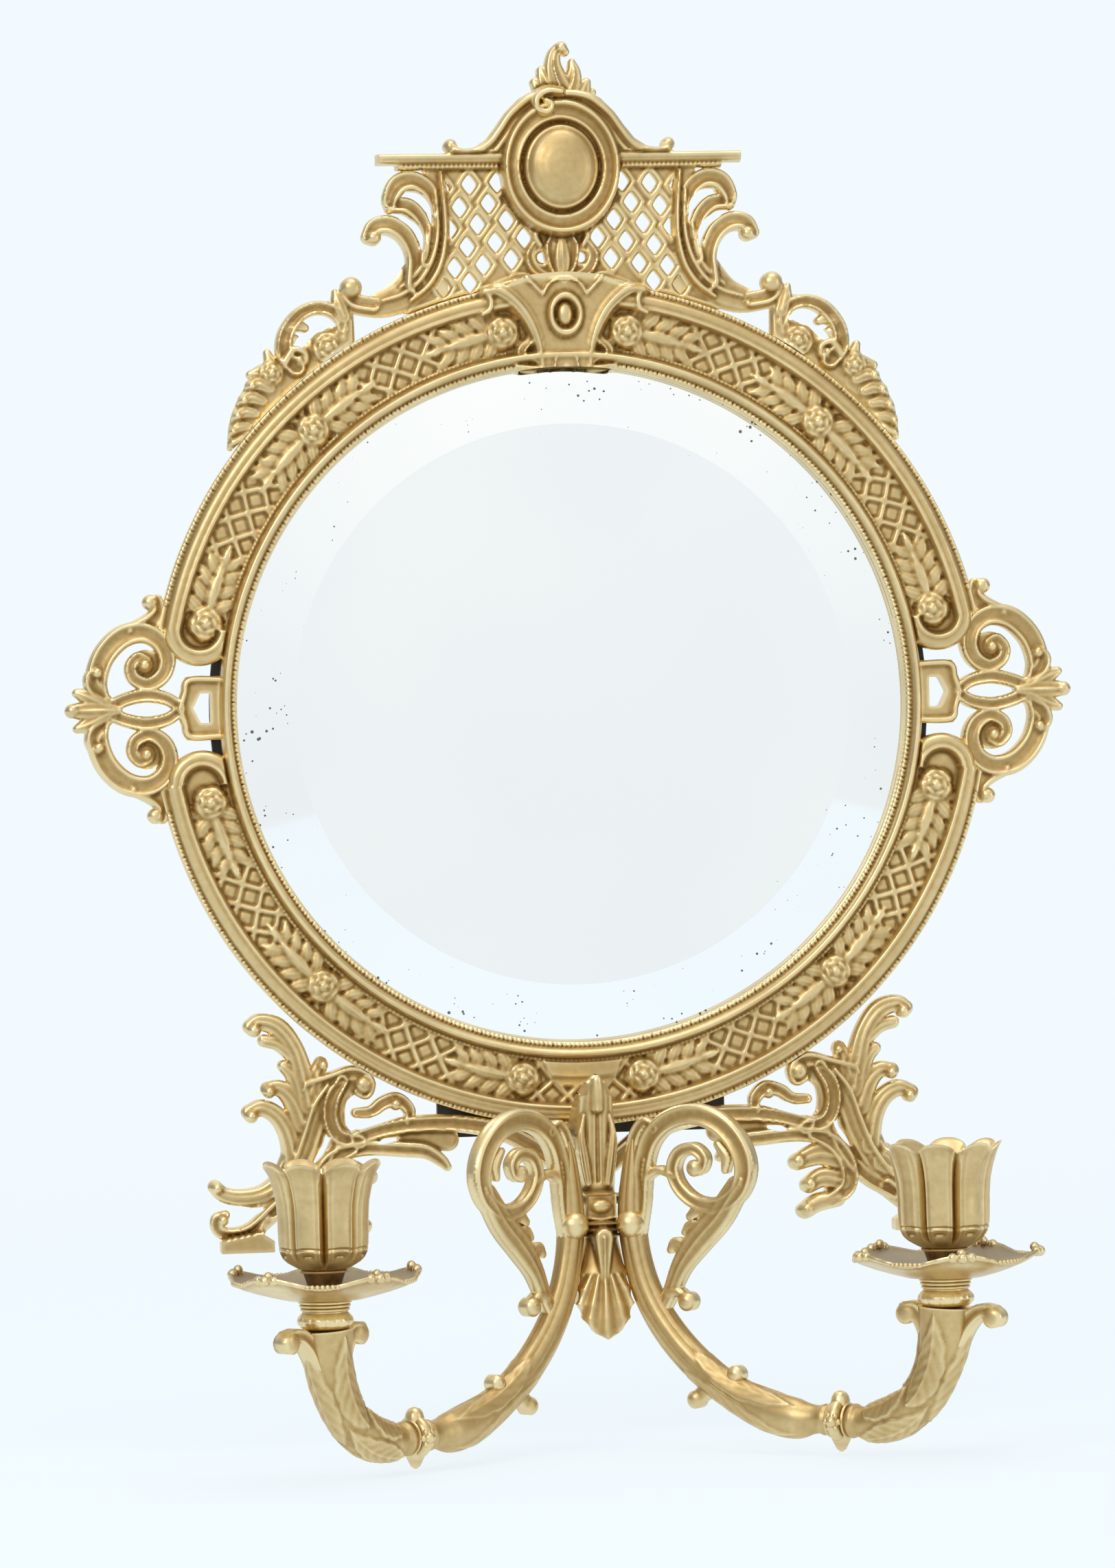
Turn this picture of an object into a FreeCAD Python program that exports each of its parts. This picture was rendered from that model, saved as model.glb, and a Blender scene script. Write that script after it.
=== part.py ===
"""Girandole mirror: a round bevelled mirror in a cast brass frame with two candle arms.

Millimetres, +X to the viewer's right, +Z up, the viewer stands on the -Y side.
The origin is the centre of the hanging eye, on the face that lies against the wall.
While it is modelled, Z is counted from the mirror's centre; every piece is moved
to the hanging eye as it is written out. Depth is counted forward (towards the
viewer) from the back plane of the ring, as "front" in the names below.
"""
import FreeCAD, Part
import math
import os
from FreeCAD import Vector

# ------------------------------------------------------------------ driving sizes
# Depth stack, counted from the wall
WALL_GAP = 6.0              # wall to the back plane of the ring
BOARD_THICK = 3.0           # backboard, behind the ring
GLASS_THICK = 5.0
GLASS_BACK = 0.15           # glass stands this far in front of the backboard

# Mirror and ring
SIGHT_R = 118.5             # visible radius of the mirror
GLASS_LAP = 2.6             # glass hidden behind the sight edge
BEVEL_WIDTH = 20.0          # visible width of the bevel
BEVEL_DROP = 2.0            # glass is thinner by this much at its edge
RING_OUTER_R = 148.0
INNER_RIM_R = 124.4         # outer wall of the inner rim
BAND_OUTER_R = 140.2        # where the outer moulding starts
BAND_FLOOR = 5.2            # height of the recessed band's floor
BAND_WALL = 2.4             # metal left under that floor
INNER_RIM_HEIGHT = 10.4
OUTER_RIM_HEIGHT = 8.8
BACKBOARD_R = 127.5

# Heights on the centre line, from the mirror's centre
EYE_Z = 193.0               # hanging eye
OVAL_Z = 188.3              # centre of the crest's oval boss
BAR_TOP_Z = 193.8           # crest's horizontal bar
BAR_HALF = 64.8
FINIAL_TIP_Z = 232.6
EAR_Z = 1.5                 # centre of the side ears
EAR_TIP_X = 178.4

# Crest
CREST_RELIEF = 7.5          # thickness of the scrolls
TRELLIS_THICK = 4.2
OVAL_HALF_W = 21.3
OVAL_HALF_H = 24.4
BOSS_HALF_W = 13.3
BOSS_HALF_H = 15.4
BOSS_TOP = 14.5
TRELLIS_HOLE_W = 5.4
TRELLIS_HOLE_H = 7.2

# Base
BASE_RELIEF = 7.0
SEAT_FRONT = 13.0           # face of the block that carries the spine
FOOT_BOTTOM_Z = -188.5

# Arms, in the upright plane of each arm
ARM_ANGLE = 40.0            # plan angle between an arm and the wall, degrees
ARM_ROOT_X = 9.0            # where that plane starts
ARM_ROOT_FRONT = 41.0
ARM_THICK = 6.4             # thickness of the flat scrollwork
KNOP_S = 83.0               # collar between inner and outer arm, along the arm
KNOP_Z = -245.5
KNOP_WIDTH = 7.4
CUP_S = 124.5               # candle axis, along the arm
HORN_TOP_Z = -206.0

# Candle cup, pan and what carries them
NECK_HEIGHT = 6.0
SEAT_HEIGHT = 3.7
PAN_THICK = 3.3
PAN_R = 32.2
PAN_WAVE = 1.6
PAN_LOBES = 5
PAN_RISE = 7.0              # underside of the hub to the rim, on average
PAN_LIFT = 1.6              # how far the lobes stand above that
RIGHT_PAN_TURN = -51.0      # a lobe's direction in the arm's plane, degrees
LEFT_PAN_TURN = -7.0
STEM_HEIGHT = 6.7
CUP_HEIGHT = 35.6
CUP_RIM_R = 20.4
CUP_WAIST_R = 14.7
PETALS = 8
CANDLE_BORE_R = 11.2
CANDLE_BORE_DEPTH = 22.0
FLARE_DEPTH = 7.3

# Fasteners
STUD_R = 2.0
SCREW_R = 1.5
BUTTON_SCREW_R = 1.55
BOLT_R = 2.0
EYE_R = 3.0
PLATE_THICK = 1.5

# Turn buttons
BUTTON_RADIUS = 133.0       # pivots, from the mirror's centre
BUTTON_ANGLE = 35.0         # above and below the horizontal, degrees
BUTTON_LENGTH = 22.0
BUTTON_WIDTH = 8.0
BUTTON_THICK = 1.2

# Clearances
RUNNING = 0.05              # radial, pivot screw in its turn button
THREAD = 0.15               # radial, drawn round every stud and screw
GAP = 0.2                   # between curved faces that meet
BUTTON_PLAY = 0.15          # above and below a turn button

# Flats of rounds that are drawn with few sides
ARM_SIDES = 12
POST_SIDES = 16
DISC_SIDES = 12
OVAL_SIDES = 28
ROD_SIDES = 8
PETAL_SIDES = 4
PAN_LOBE_SIDES = 8
LARGEST_BEND = 28.0         # turn between two flats of a scroll, degrees

# ------------------------------------------------------------------ derived sizes
GLASS_R = SIGHT_R + GLASS_LAP
REBATE_R = GLASS_R + 0.5
BEVEL_START_R = SIGHT_R - BEVEL_WIDTH
BEVEL_SLOPE = BEVEL_DROP / (GLASS_R - BEVEL_START_R)
GLASS_FRONT = GLASS_BACK + GLASS_THICK
LIP_BACK = GLASS_FRONT - BEVEL_SLOPE * (SIGHT_R - BEVEL_START_R) + GAP
CASTING_EDGE_R = RING_OUTER_R + GAP
SEAT_Z = HORN_TOP_Z + NECK_HEIGHT
PAN_Z = SEAT_Z + SEAT_HEIGHT
STEM_Z = PAN_Z + PAN_THICK
CUP_Z = STEM_Z + STEM_HEIGHT
CUP_TOP_Z = CUP_Z + CUP_HEIGHT
BORE_FLOOR_Z = CUP_TOP_Z - FLARE_DEPTH - CANDLE_BORE_DEPTH
NUT_HEIGHT = 2.6
NUT_Z = BORE_FLOOR_Z - NUT_HEIGHT - 0.6


# ------------------------------------------------------------------ small tools
def depth(front):
    """Y of a place this far in front of the ring's back plane."""
    return -(WALL_GAP + front)


def at(x, front, z):
    return Vector(x, depth(front), z)


def flat(x, z):
    return Vector(x, 0, z)


def slab(face, back, front):
    """Thicken a face of the XZ plane from one depth to another."""
    placed = face.copy()
    placed.translate(Vector(0, depth(back), 0))
    return placed.extrude(Vector(0, back - front, 0))


def polygon(points):
    loop = [flat(x, z) for x, z in points]
    return Part.Face(Part.makePolygon(loop + loop[:1]))


def polygon_face(corners):
    return Part.Face(Part.makePolygon(list(corners) + [corners[0]]))


def ring_of(centre, first, second, sides):
    """Corners round the ellipse with these two half axes."""
    corners = []
    for index in range(sides):
        angle = 2 * math.pi * (index + 0.5) / sides
        corners.append(centre + first * math.cos(angle) + second * math.sin(angle))
    return corners


def disc(x, z, radius, sides=DISC_SIDES):
    return polygon_face(ring_of(flat(x, z), Vector(radius, 0, 0), Vector(0, 0, radius), sides))


def round_hole(x, z, radius):
    """True circle, for a hole that something turns in or hangs from."""
    return Part.Face(Part.Wire(Part.makeCircle(radius, flat(x, z), Vector(0, 1, 0))))


def oval(half_w, half_h, z):
    """Upright oval on the centre line."""
    return polygon_face(ring_of(flat(0, z), Vector(half_w, 0, 0), Vector(0, 0, half_h), OVAL_SIDES))


def prism(radius, length, base, direction):
    """Many-sided bar from its base, for studs, screws and the holes they fill."""
    first = Vector(0, 1, 0) if abs(direction.x) > 0.5 else Vector(1, 0, 0)
    second = direction.cross(first)
    return polygon_face(ring_of(base, first * radius, second * radius, ROD_SIDES)).extrude(direction * length)


def rod(radius, back, front, x, z):
    """Many-sided bar along the depth."""
    return prism(radius, front - back, at(x, back, z), Vector(0, -1, 0))


def drum(radius, back, front, x=0, z=0):
    """True cylinder along the depth."""
    return Part.makeCylinder(radius, front - back, at(x, back, z), Vector(0, -1, 0))


def merge(shapes):
    """One clean shape from many that touch or overlap."""
    shapes = list(shapes)
    if len(shapes) == 1:
        return shapes[0]
    return shapes[0].multiFuse(shapes[1:]).removeSplitter()


def curve(points):
    line = Part.BSplineCurve()
    line.interpolate([flat(x, z) for x, z in points])
    return line


def widths_along(widths, share):
    """Width at a share of the way along, the given widths being evenly spaced."""
    place = share * (len(widths) - 1)
    step = min(int(place), len(widths) - 2)
    return widths[step] + (widths[step + 1] - widths[step]) * (place - step)


def band_places(points, widths, step_every, largest_bend):
    """Places along both edges of a band that follows a smooth line, and its tip.

    A place is added where the line has turned far enough, and at least after
    this many steps, with eight steps from one given point to the next.
    """
    line = curve(points)
    steps = 8 * (len(points) - 1)
    left, right = [], []
    last_step, last_along = -step_every, None
    for step in range(steps + 1):
        share = step / steps
        along = line.tangent(share * line.LastParameter)[0]
        bent = last_along is None or math.degrees(along.getAngle(last_along)) > largest_bend
        if not (bent or step == steps or step - last_step >= step_every):
            continue
        place = line.value(share * line.LastParameter)
        side = Vector(-along.z, 0, along.x) * (widths_along(widths, share) / 2)
        left.append(place + side)
        right.append(place - side)
        last_step, last_along = step, along
    return left, right, place + along * (widths[-1] / 2)


def ribbon(points, widths):
    """Scroll of changing width along a smooth line, its far end blunt."""
    left, right, tip = band_places(points, widths, 16, LARGEST_BEND)
    return polygon_face(left + [tip] + right[::-1])


def leaf(points, widths):
    """Small leaf with straight sides from place to place."""
    left, right, tip = band_places(points, widths, 8, 180)
    return polygon_face(left + [tip] + right[::-1])


def both_sides(faces):
    """The faces and their mirror images about the centre line."""
    mirrored = [face.mirror(Vector(0, 0, 0), Vector(1, 0, 0)) for face in faces]
    return list(faces) + mirrored


def chords(start, middle, goal, count=3):
    """Points after the start of an arc through three points, the goal last."""
    arc = Part.Arc(Vector(*start, 0), Vector(*middle, 0), Vector(*goal, 0))
    step = (arc.LastParameter - arc.FirstParameter) / count
    places = [arc.value(arc.FirstParameter + step * index) for index in range(1, count)]
    return [(place.x, place.y) for place in places] + [goal]


def chorded(profile):
    """The profile with each arc, a point of four numbers, drawn as three chords.

    Such a point ends an arc that passes through its first pair of numbers.
    """
    outline = [profile[0]]
    for step in profile[1:]:
        if len(step) == 4:
            outline += chords(outline[-1], step[:2], step[2:])
        else:
            outline.append(step)
    return outline


def turned(profile):
    """Revolve a closed profile of (radius, front) points round the mirror's centre."""
    loop = [Vector(radius, depth(front), 0) for radius, front in chorded(profile)]
    return polygon_face(loop).revolve(Vector(0, 0, 0), Vector(0, 1, 0), 360)


def post(profile, bore=0.0):
    """Upright turning with flats round the origin, from (radius, height) points."""
    outline = chorded(profile)
    body = loft([ring_of(Vector(0, 0, height), Vector(radius, 0, 0), Vector(0, radius, 0), POST_SIDES)
                 for radius, height in outline], True)
    if not bore:
        return body
    low, high = outline[0][1], outline[-1][1]
    return body.cut(prism(bore, high - low + 2, Vector(0, 0, low - 1), Vector(0, 0, 1)))


def ball(radius, centre):
    """Ball turned as a few cones."""
    side = radius * math.sqrt(0.5)
    body = post([(radius * 0.3, -radius * 0.96), (side, -side), (radius, 0), (side, side),
                 (radius * 0.3, radius * 0.96)])
    body.translate(centre)
    return body


def loft(rings, flat_sides=False):
    """Faceted loft through rings that have the same number of corners."""
    faces = [polygon_face(rings[0]), polygon_face(rings[-1])]
    for low, high in zip(rings, rings[1:]):
        for index, corner in enumerate(low):
            after = (index + 1) % len(low)
            if flat_sides:
                faces.append(polygon_face([corner, low[after], high[after], high[index]]))
                continue
            faces.append(polygon_face([corner, low[after], high[after]]))
            faces.append(polygon_face([corner, high[after], high[index]]))
    return Part.Solid(Part.Shell(faces))


def tube(stations):
    """Loft through rounds that stand square to a line in the XZ plane.

    A station is (x, z, half thickness in the plane, half thickness across it).
    """
    line = curve([station[:2] for station in stations])
    rings = []
    for x, z, in_plane, across in stations:
        along = line.tangent(line.parameter(flat(x, z)))[0]
        side = Vector(-along.z, 0, along.x) * in_plane
        rings.append(ring_of(flat(x, z), side, Vector(0, across, 0), ARM_SIDES))
    return loft(rings)


# ------------------------------------------------------------------ mirror
def mirror_glass():
    edge_front = GLASS_FRONT - BEVEL_DROP
    return turned([(0, GLASS_BACK), (GLASS_R, GLASS_BACK), (GLASS_R, edge_front),
                   (BEVEL_START_R, GLASS_FRONT), (0, GLASS_FRONT)])


def backboard():
    return drum(BACKBOARD_R, -BOARD_THICK, 0)


# ------------------------------------------------------------------ ring with its ears
def ring_moulding():
    channel = BAND_FLOOR - BAND_WALL
    return turned([
        (SIGHT_R, LIP_BACK),
        (REBATE_R, LIP_BACK),
        (REBATE_R, 0),
        (INNER_RIM_R + 0.8, 0),
        (INNER_RIM_R + 0.8, channel),
        (RING_OUTER_R - 4.4, channel),
        (RING_OUTER_R - 4.4, 0),
        (RING_OUTER_R, 0),
        (RING_OUTER_R, 4.2),
        (BAND_OUTER_R + 5.2, 6.2),
        (BAND_OUTER_R + 4.0, OUTER_RIM_HEIGHT - 0.3),
        (BAND_OUTER_R + 1.8, OUTER_RIM_HEIGHT),
        (BAND_OUTER_R, BAND_FLOOR),
        (INNER_RIM_R, BAND_FLOOR),
        (INNER_RIM_R - 0.4, INNER_RIM_HEIGHT - 0.8),
        (INNER_RIM_R - 1.8, INNER_RIM_HEIGHT),
        (INNER_RIM_R - 3.0, 8.8),
        (SIGHT_R, 6.4),
    ])


def ear_faces():
    """Scrollwork of the right ear, without the shell."""
    bracket = polygon([(INNER_RIM_R - 0.6, 11.1), (135.8, 11.1), (139.6, 0), (135.8, -11.1),
                       (INNER_RIM_R - 0.6, -11.1)])
    bracket = bracket.cut(polygon([(127.3, 5.2), (131, 5.2), (133.7, 0), (131, -5.2), (127.3, -5.2)]))
    eye = Part.Face(Part.Wire([
        Part.Arc(flat(137.4, 0), flat(150, 6.9), flat(163.4, 0)).toShape(),
        Part.Arc(flat(163.4, 0), flat(150, -6.9), flat(137.4, 0)).toShape()]))
    eye = eye.cut(polygon_face(ring_of(flat(149, 0), Vector(5.8, 0, 0), Vector(0, 0, 2.6), DISC_SIDES)))
    half = [
        ribbon([(164.6, 2), (164.4, 12), (160.4, 20.6), (153, 25), (146.6, 23.6), (143.8, 17.5),
                (144.6, 11), (149, 8)], [6.8, 7.4, 6.8, 6.2, 5.8, 5.4, 5, 4]),
        disc(149.6, 15.2, 6.9),
        leaf([(151, 28), (147, 31.5), (145.9, 35.5), (147.6, 37.6)], [5, 3.6, 2.8, 3.4]),
        disc(131.8, 23, 8.3),
    ]
    upper = merge(half)
    lower = upper.mirror(Vector(0, 0, 0), Vector(0, 0, 1))
    scrollwork = [bracket, eye, upper, lower]
    for face in scrollwork:
        face.translate(Vector(0, 0, EAR_Z))
    return scrollwork


def ear_shell():
    """Fan of four lobes at the tip of the right ear."""
    lobes = []
    for reach_x, reach_z, width in ((EAR_TIP_X - 6.4, 11.6, 6.0), (EAR_TIP_X - 2.7, 4.0, 5.4)):
        for sign in (1, -1):
            root = (162.5, sign * 0.7)
            middle = ((162.5 + reach_x) / 2, sign * reach_z * 0.52)
            lobes.append(leaf([root, middle, (reach_x, sign * reach_z)], [2.4, width - 1, width]))
    shell = merge(lobes)
    shell.translate(Vector(0, 0, EAR_Z))
    return shell


def keystone():
    """Shield with a raised oval at the top of the ring, and its side scrolls."""
    shield = polygon([(-12.5, 146.5), (-5, 151), (5, 151), (12.5, 146.5), (14.5, 139), (12.5, 129),
                      (6, 121.5), (-6, 121.5), (-12.5, 129), (-14.5, 139)])
    ring = oval(7.2, 8.2, 139.5).cut(oval(5.0, 6.0, 139.5))
    wings = both_sides([ribbon([(14, 129), (16.5, 137), (21.5, 143), (28.5, 144.5)], [3.4, 4.2, 4, 3.4]),
                        disc(29, 141.2, 3.3)])
    parts = [slab(shield, BAND_FLOOR - 0.1, 10.6), slab(ring, 10, 12.4)]
    parts += [slab(face, BAND_FLOOR - 0.1, 9.6) for face in wings]
    return parts


def ring_frame():
    ring = ring_moulding()
    ear_gap = Part.makeBox(RING_OUTER_R - INNER_RIM_R + 8, OUTER_RIM_HEIGHT + 8, 46,
                           Vector(INNER_RIM_R, depth(OUTER_RIM_HEIGHT + 4), EAR_Z - 23))
    ear_gap = ear_gap.cut(drum(INNER_RIM_R, -20, 40))
    ear_right = merge(ear_faces())
    shell_right = ear_shell()
    parts = keystone()
    for sign in (1, -1):
        gap = ear_gap if sign > 0 else ear_gap.mirror(Vector(0, 0, 0), Vector(1, 0, 0))
        ring = ring.cut(gap)
        for face, front in ((ear_right, 6.6), (shell_right, 8.4)):
            side = face if sign > 0 else face.mirror(Vector(0, 0, 0), Vector(1, 0, 0))
            parts.append(slab(side, 0, front))
    ring = merge([ring] + parts)
    ring = ring.cut(drum(REBATE_R, -1, LIP_BACK))
    channel = BAND_FLOOR - BAND_WALL
    bosses = [rod(3.0, -BOARD_THICK, channel + 0.5, x, z) for x, z in button_places().values()]
    bosses += [rod(4.0, 0, channel + 0.5, x, z) for x, z in CREST_SCREWS + STRAP_RING_SCREWS]
    ring = merge([ring] + bosses)
    holes = [drum(BUTTON_SCREW_R + THREAD, -4, 3.4, x, z) for x, z in button_places().values()]
    holes += [rod(SCREW_R + THREAD, -4, 3.6, x, z) for x, z in CREST_SCREWS + STRAP_RING_SCREWS]
    return ring.cut(holes[0].multiFuse(holes[1:]))


# ------------------------------------------------------------------ crest
CREST_SCREWS = [(46.0, 131.5), (-46.0, 131.5)]


def crest_scrolls():
    """Right half of the crest's scrollwork, all of one thickness."""
    return [
        ribbon([(48, 184.5), (44.2, 178), (43, 168), (43.8, 158), (47.5, 150), (54, 143.6), (63, 140.2),
                (73, 140.6)], [4, 4.6, 4.4, 4.6, 6.5, 7.5, 6.5, 5]),
        ribbon([(44.8, 176), (48, 181.6), (53, 184.6), (58, 183.6), (60, 179.4), (59.4, 175.4)],
               [3.6, 5, 5.4, 5.2, 4.4, 3.4]),
        ribbon([(48, 156), (47.9, 165), (50.2, 171.6), (54.4, 174.8), (59.4, 174.4)],
               [5, 3.6, 3.6, 4, 3.6]),
        ribbon([(52, 148), (52.4, 158), (55.4, 165.4), (60.4, 169.4), (65.6, 168.6), (68, 164.6)],
               [9, 5.4, 5.4, 5.6, 5.2, 4.6]),
        leaf([(68, 141), (73.6, 142.6), (75.2, 146)], [5, 5, 5]),
        disc(74.6, 147, 3.6),
        leaf([(76.5, 144), (76.8, 137.5), (77.8, 129.4)], [5.2, 4.8, 7.0]),
        ribbon([(77.8, 133), (80.6, 138.4), (87, 140.2), (93.6, 137.4), (98, 130.6), (98, 123.4),
                (93.6, 119.6)], [3.2, 3.8, 4, 4.6, 5, 5.4, 6]),
        leaf([(95.4, 134.6), (92, 134.6), (89.8, 133.4)], [3.6, 3.2, 2.4]),
        disc(83.4, 126.4, 5.9),
        disc(93.6, 122.6, 4.6),
        disc(103.6, 117.8, 5.2),
        leaf([(102.6, 119), (104.2, 123.6)], [5, 3.4]),
        leaf([(105, 118), (109.4, 117.4)], [8, 6.6]),
        leaf([(104.4, 112.6), (109.8, 107), (114.4, 100.2), (118.4, 91.6)], [12, 10.4, 7.4, 2]),
    ]


def trellis():
    """Pierced lattice of diamonds beside the oval, right side."""
    field = polygon([(14, 190), (47, 190), (42, 180), (41.6, 160), (48, 146), (60, 138), (40, 141),
                     (22, 146), (2, 148), (2, 165)])
    row_step = Vector(9.75, 0, -1.6)
    down_step = Vector(-5.7, 0, -6.65)
    first = flat(32.5, 184.6)
    rows = ((-1, 1), (-1, 1), (-1, 1), (-1, 2), (0, 3), (1, 3))
    openings = []
    for row, (start, stop) in enumerate(rows):
        for column in range(start, stop + 1):
            centre = first + down_step * row + row_step * column
            half_w, half_h = TRELLIS_HOLE_W / 2, TRELLIS_HOLE_H / 2
            if not trellis_hole_fits(centre.x, centre.z):
                continue
            openings.append(polygon([(centre.x - half_w, centre.z), (centre.x, centre.z + half_h),
                                     (centre.x + half_w, centre.z), (centre.x, centre.z - half_h)]))
    return field.cut(openings[0].multiFuse(openings[1:]))


def trellis_hole_fits(x, z):
    """Keep each hole clear of the oval, the ring, the bar and the scroll."""
    beside_oval = (x / (OVAL_HALF_W + 2.4)) ** 2 + ((z - OVAL_Z) / (OVAL_HALF_H + 3)) ** 2 > 1
    above_ring = math.hypot(x, z) > RING_OUTER_R + 4.6
    under_bar = z < BAR_TOP_Z - 8.0
    return beside_oval and above_ring and under_bar and 8 < x < 44


def crest_oval():
    """Domed oval boss inside its moulded frames."""
    plate = slab(oval(OVAL_HALF_W, OVAL_HALF_H, OVAL_Z), 0, 8)
    outer = oval(OVAL_HALF_W, OVAL_HALF_H, OVAL_Z).cut(oval(OVAL_HALF_W - 3, OVAL_HALF_H - 3, OVAL_Z))
    inner = oval(BOSS_HALF_W + 2.4, BOSS_HALF_H + 2.4, OVAL_Z)
    inner = inner.cut(oval(BOSS_HALF_W + 0.8, BOSS_HALF_H + 0.8, OVAL_Z))
    dome = loft([ring_of(at(0, front, OVAL_Z), Vector(BOSS_HALF_W * share, 0, 0),
                         Vector(0, 0, BOSS_HALF_H * share), OVAL_SIDES)
                 for share, front in ((1.0, 7.5), (0.97, 10.4), (0.78, 13.0), (0.4, BOSS_TOP))])
    return [plate, slab(outer, 7.5, 11.8), slab(inner, 7.5, 10.8), dome]


def crest_top():
    """Hood moulding, horizontal bar and the leaf finial."""
    hood = ribbon([(-38, 193), (-32, 195), (-26, 200), (-20, 207), (-10, 211.6), (0, 212.6),
                   (10, 211.6), (20, 207), (26, 200), (32, 195), (38, 193)],
                  [4, 4.4, 6, 6.6, 6.6, 6.6, 6.6, 6.6, 6, 4.4, 4])
    bar = polygon([(-BAR_HALF, BAR_TOP_Z), (BAR_HALF, BAR_TOP_Z), (BAR_HALF, BAR_TOP_Z - 3.6),
                   (58, BAR_TOP_Z - 5.6), (-58, BAR_TOP_Z - 5.6), (-BAR_HALF, BAR_TOP_Z - 3.6)])
    curls = both_sides([disc(38.4, 195.4, 2.5)])
    leaves = both_sides([
        leaf([(4, 212), (7.4, 217), (10.6, 218.8)], [7, 5.6, 3.6]),
        leaf([(2.6, 214), (4.6, 220), (6, 224.6)], [7, 5, 3]),
    ])
    leaves.append(leaf([(0, 212), (-0.4, 222), (0, FINIAL_TIP_Z - 2.4)], [12, 9, 4.8]))
    return [slab(hood, 0, 10), slab(bar, 0, 9), slab(merge(curls), 1, 6), slab(merge(leaves), 1, 8.4)]


def crest():
    scrolls = slab(merge(both_sides(crest_scrolls())), 0, CREST_RELIEF)
    lattice = merge(both_sides([trellis()]))
    palmette = polygon([(-15, 150), (-13, 160), (-8, 166), (8, 166), (13, 160), (15, 150),
                        (8, 147.5), (-8, 147.5)])
    slots = both_sides([disc(6.9, 157, 2.1)])
    lattice = lattice.fuse(palmette).cut(slots[0].fuse(slots[1])).removeSplitter()
    parts = [scrolls, slab(lattice, 0, TRELLIS_THICK)] + crest_oval() + crest_top()
    tabs = [polygon([(x - 6, 127), (x + 6, 127), (x + 6, 150), (x - 6, 150)])
            for x, _ in CREST_SCREWS]
    body = merge(parts)
    body = body.cut(drum(CASTING_EDGE_R, -1, 20))
    standoffs = [rod(4, -(WALL_GAP - PLATE_THICK), 1, x, EYE_Z) for x in RIVET_X]
    body = merge([body] + [slab(tab, -BOARD_THICK, 0) for tab in tabs] + standoffs)
    pocket = slab(oval(BOSS_HALF_W - 2.8, BOSS_HALF_H - 2.8, OVAL_Z), -1, 6.5)
    holes = [rod(SCREW_R + THREAD, -4, 1, x, z) for x, z in CREST_SCREWS]
    holes += [rod(SCREW_R + THREAD, -7, 0.6, x, EYE_Z) for x in RIVET_X]
    return body.cut(merge([pocket]).multiFuse(holes))


# ------------------------------------------------------------------ hanging plate
RIVET_X = (-17.0, 17.0)


def hanging_plate():
    half = [(21.5, EYE_Z), (19.2, EYE_Z + 4.2), (6.5, EYE_Z + 6.5)]
    upper = half + [(-x, z) for x, z in half[::-1]]
    face = polygon(upper + [(x, 2 * EYE_Z - z) for x, z in upper[-2:0:-1]])
    face = face.cut(round_hole(0, EYE_Z, EYE_R))
    for x in RIVET_X:
        face = face.cut(disc(x, EYE_Z, SCREW_R + THREAD, ROD_SIDES))
    return slab(face, -WALL_GAP, -(WALL_GAP - PLATE_THICK))


def hanging_rivets():
    return [rod(SCREW_R, -WALL_GAP, 0.4, x, EYE_Z) for x in RIVET_X]


# ------------------------------------------------------------------ base casting
STRAP_RING_SCREWS = [(30.0, -135.0), (-30.0, -135.0)]
STRAP_BASE_SCREWS = [(44.0, -146.2), (-44.0, -146.2)]
SPINE_BOLTS_Z = (-156.0, -167.5)


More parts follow.
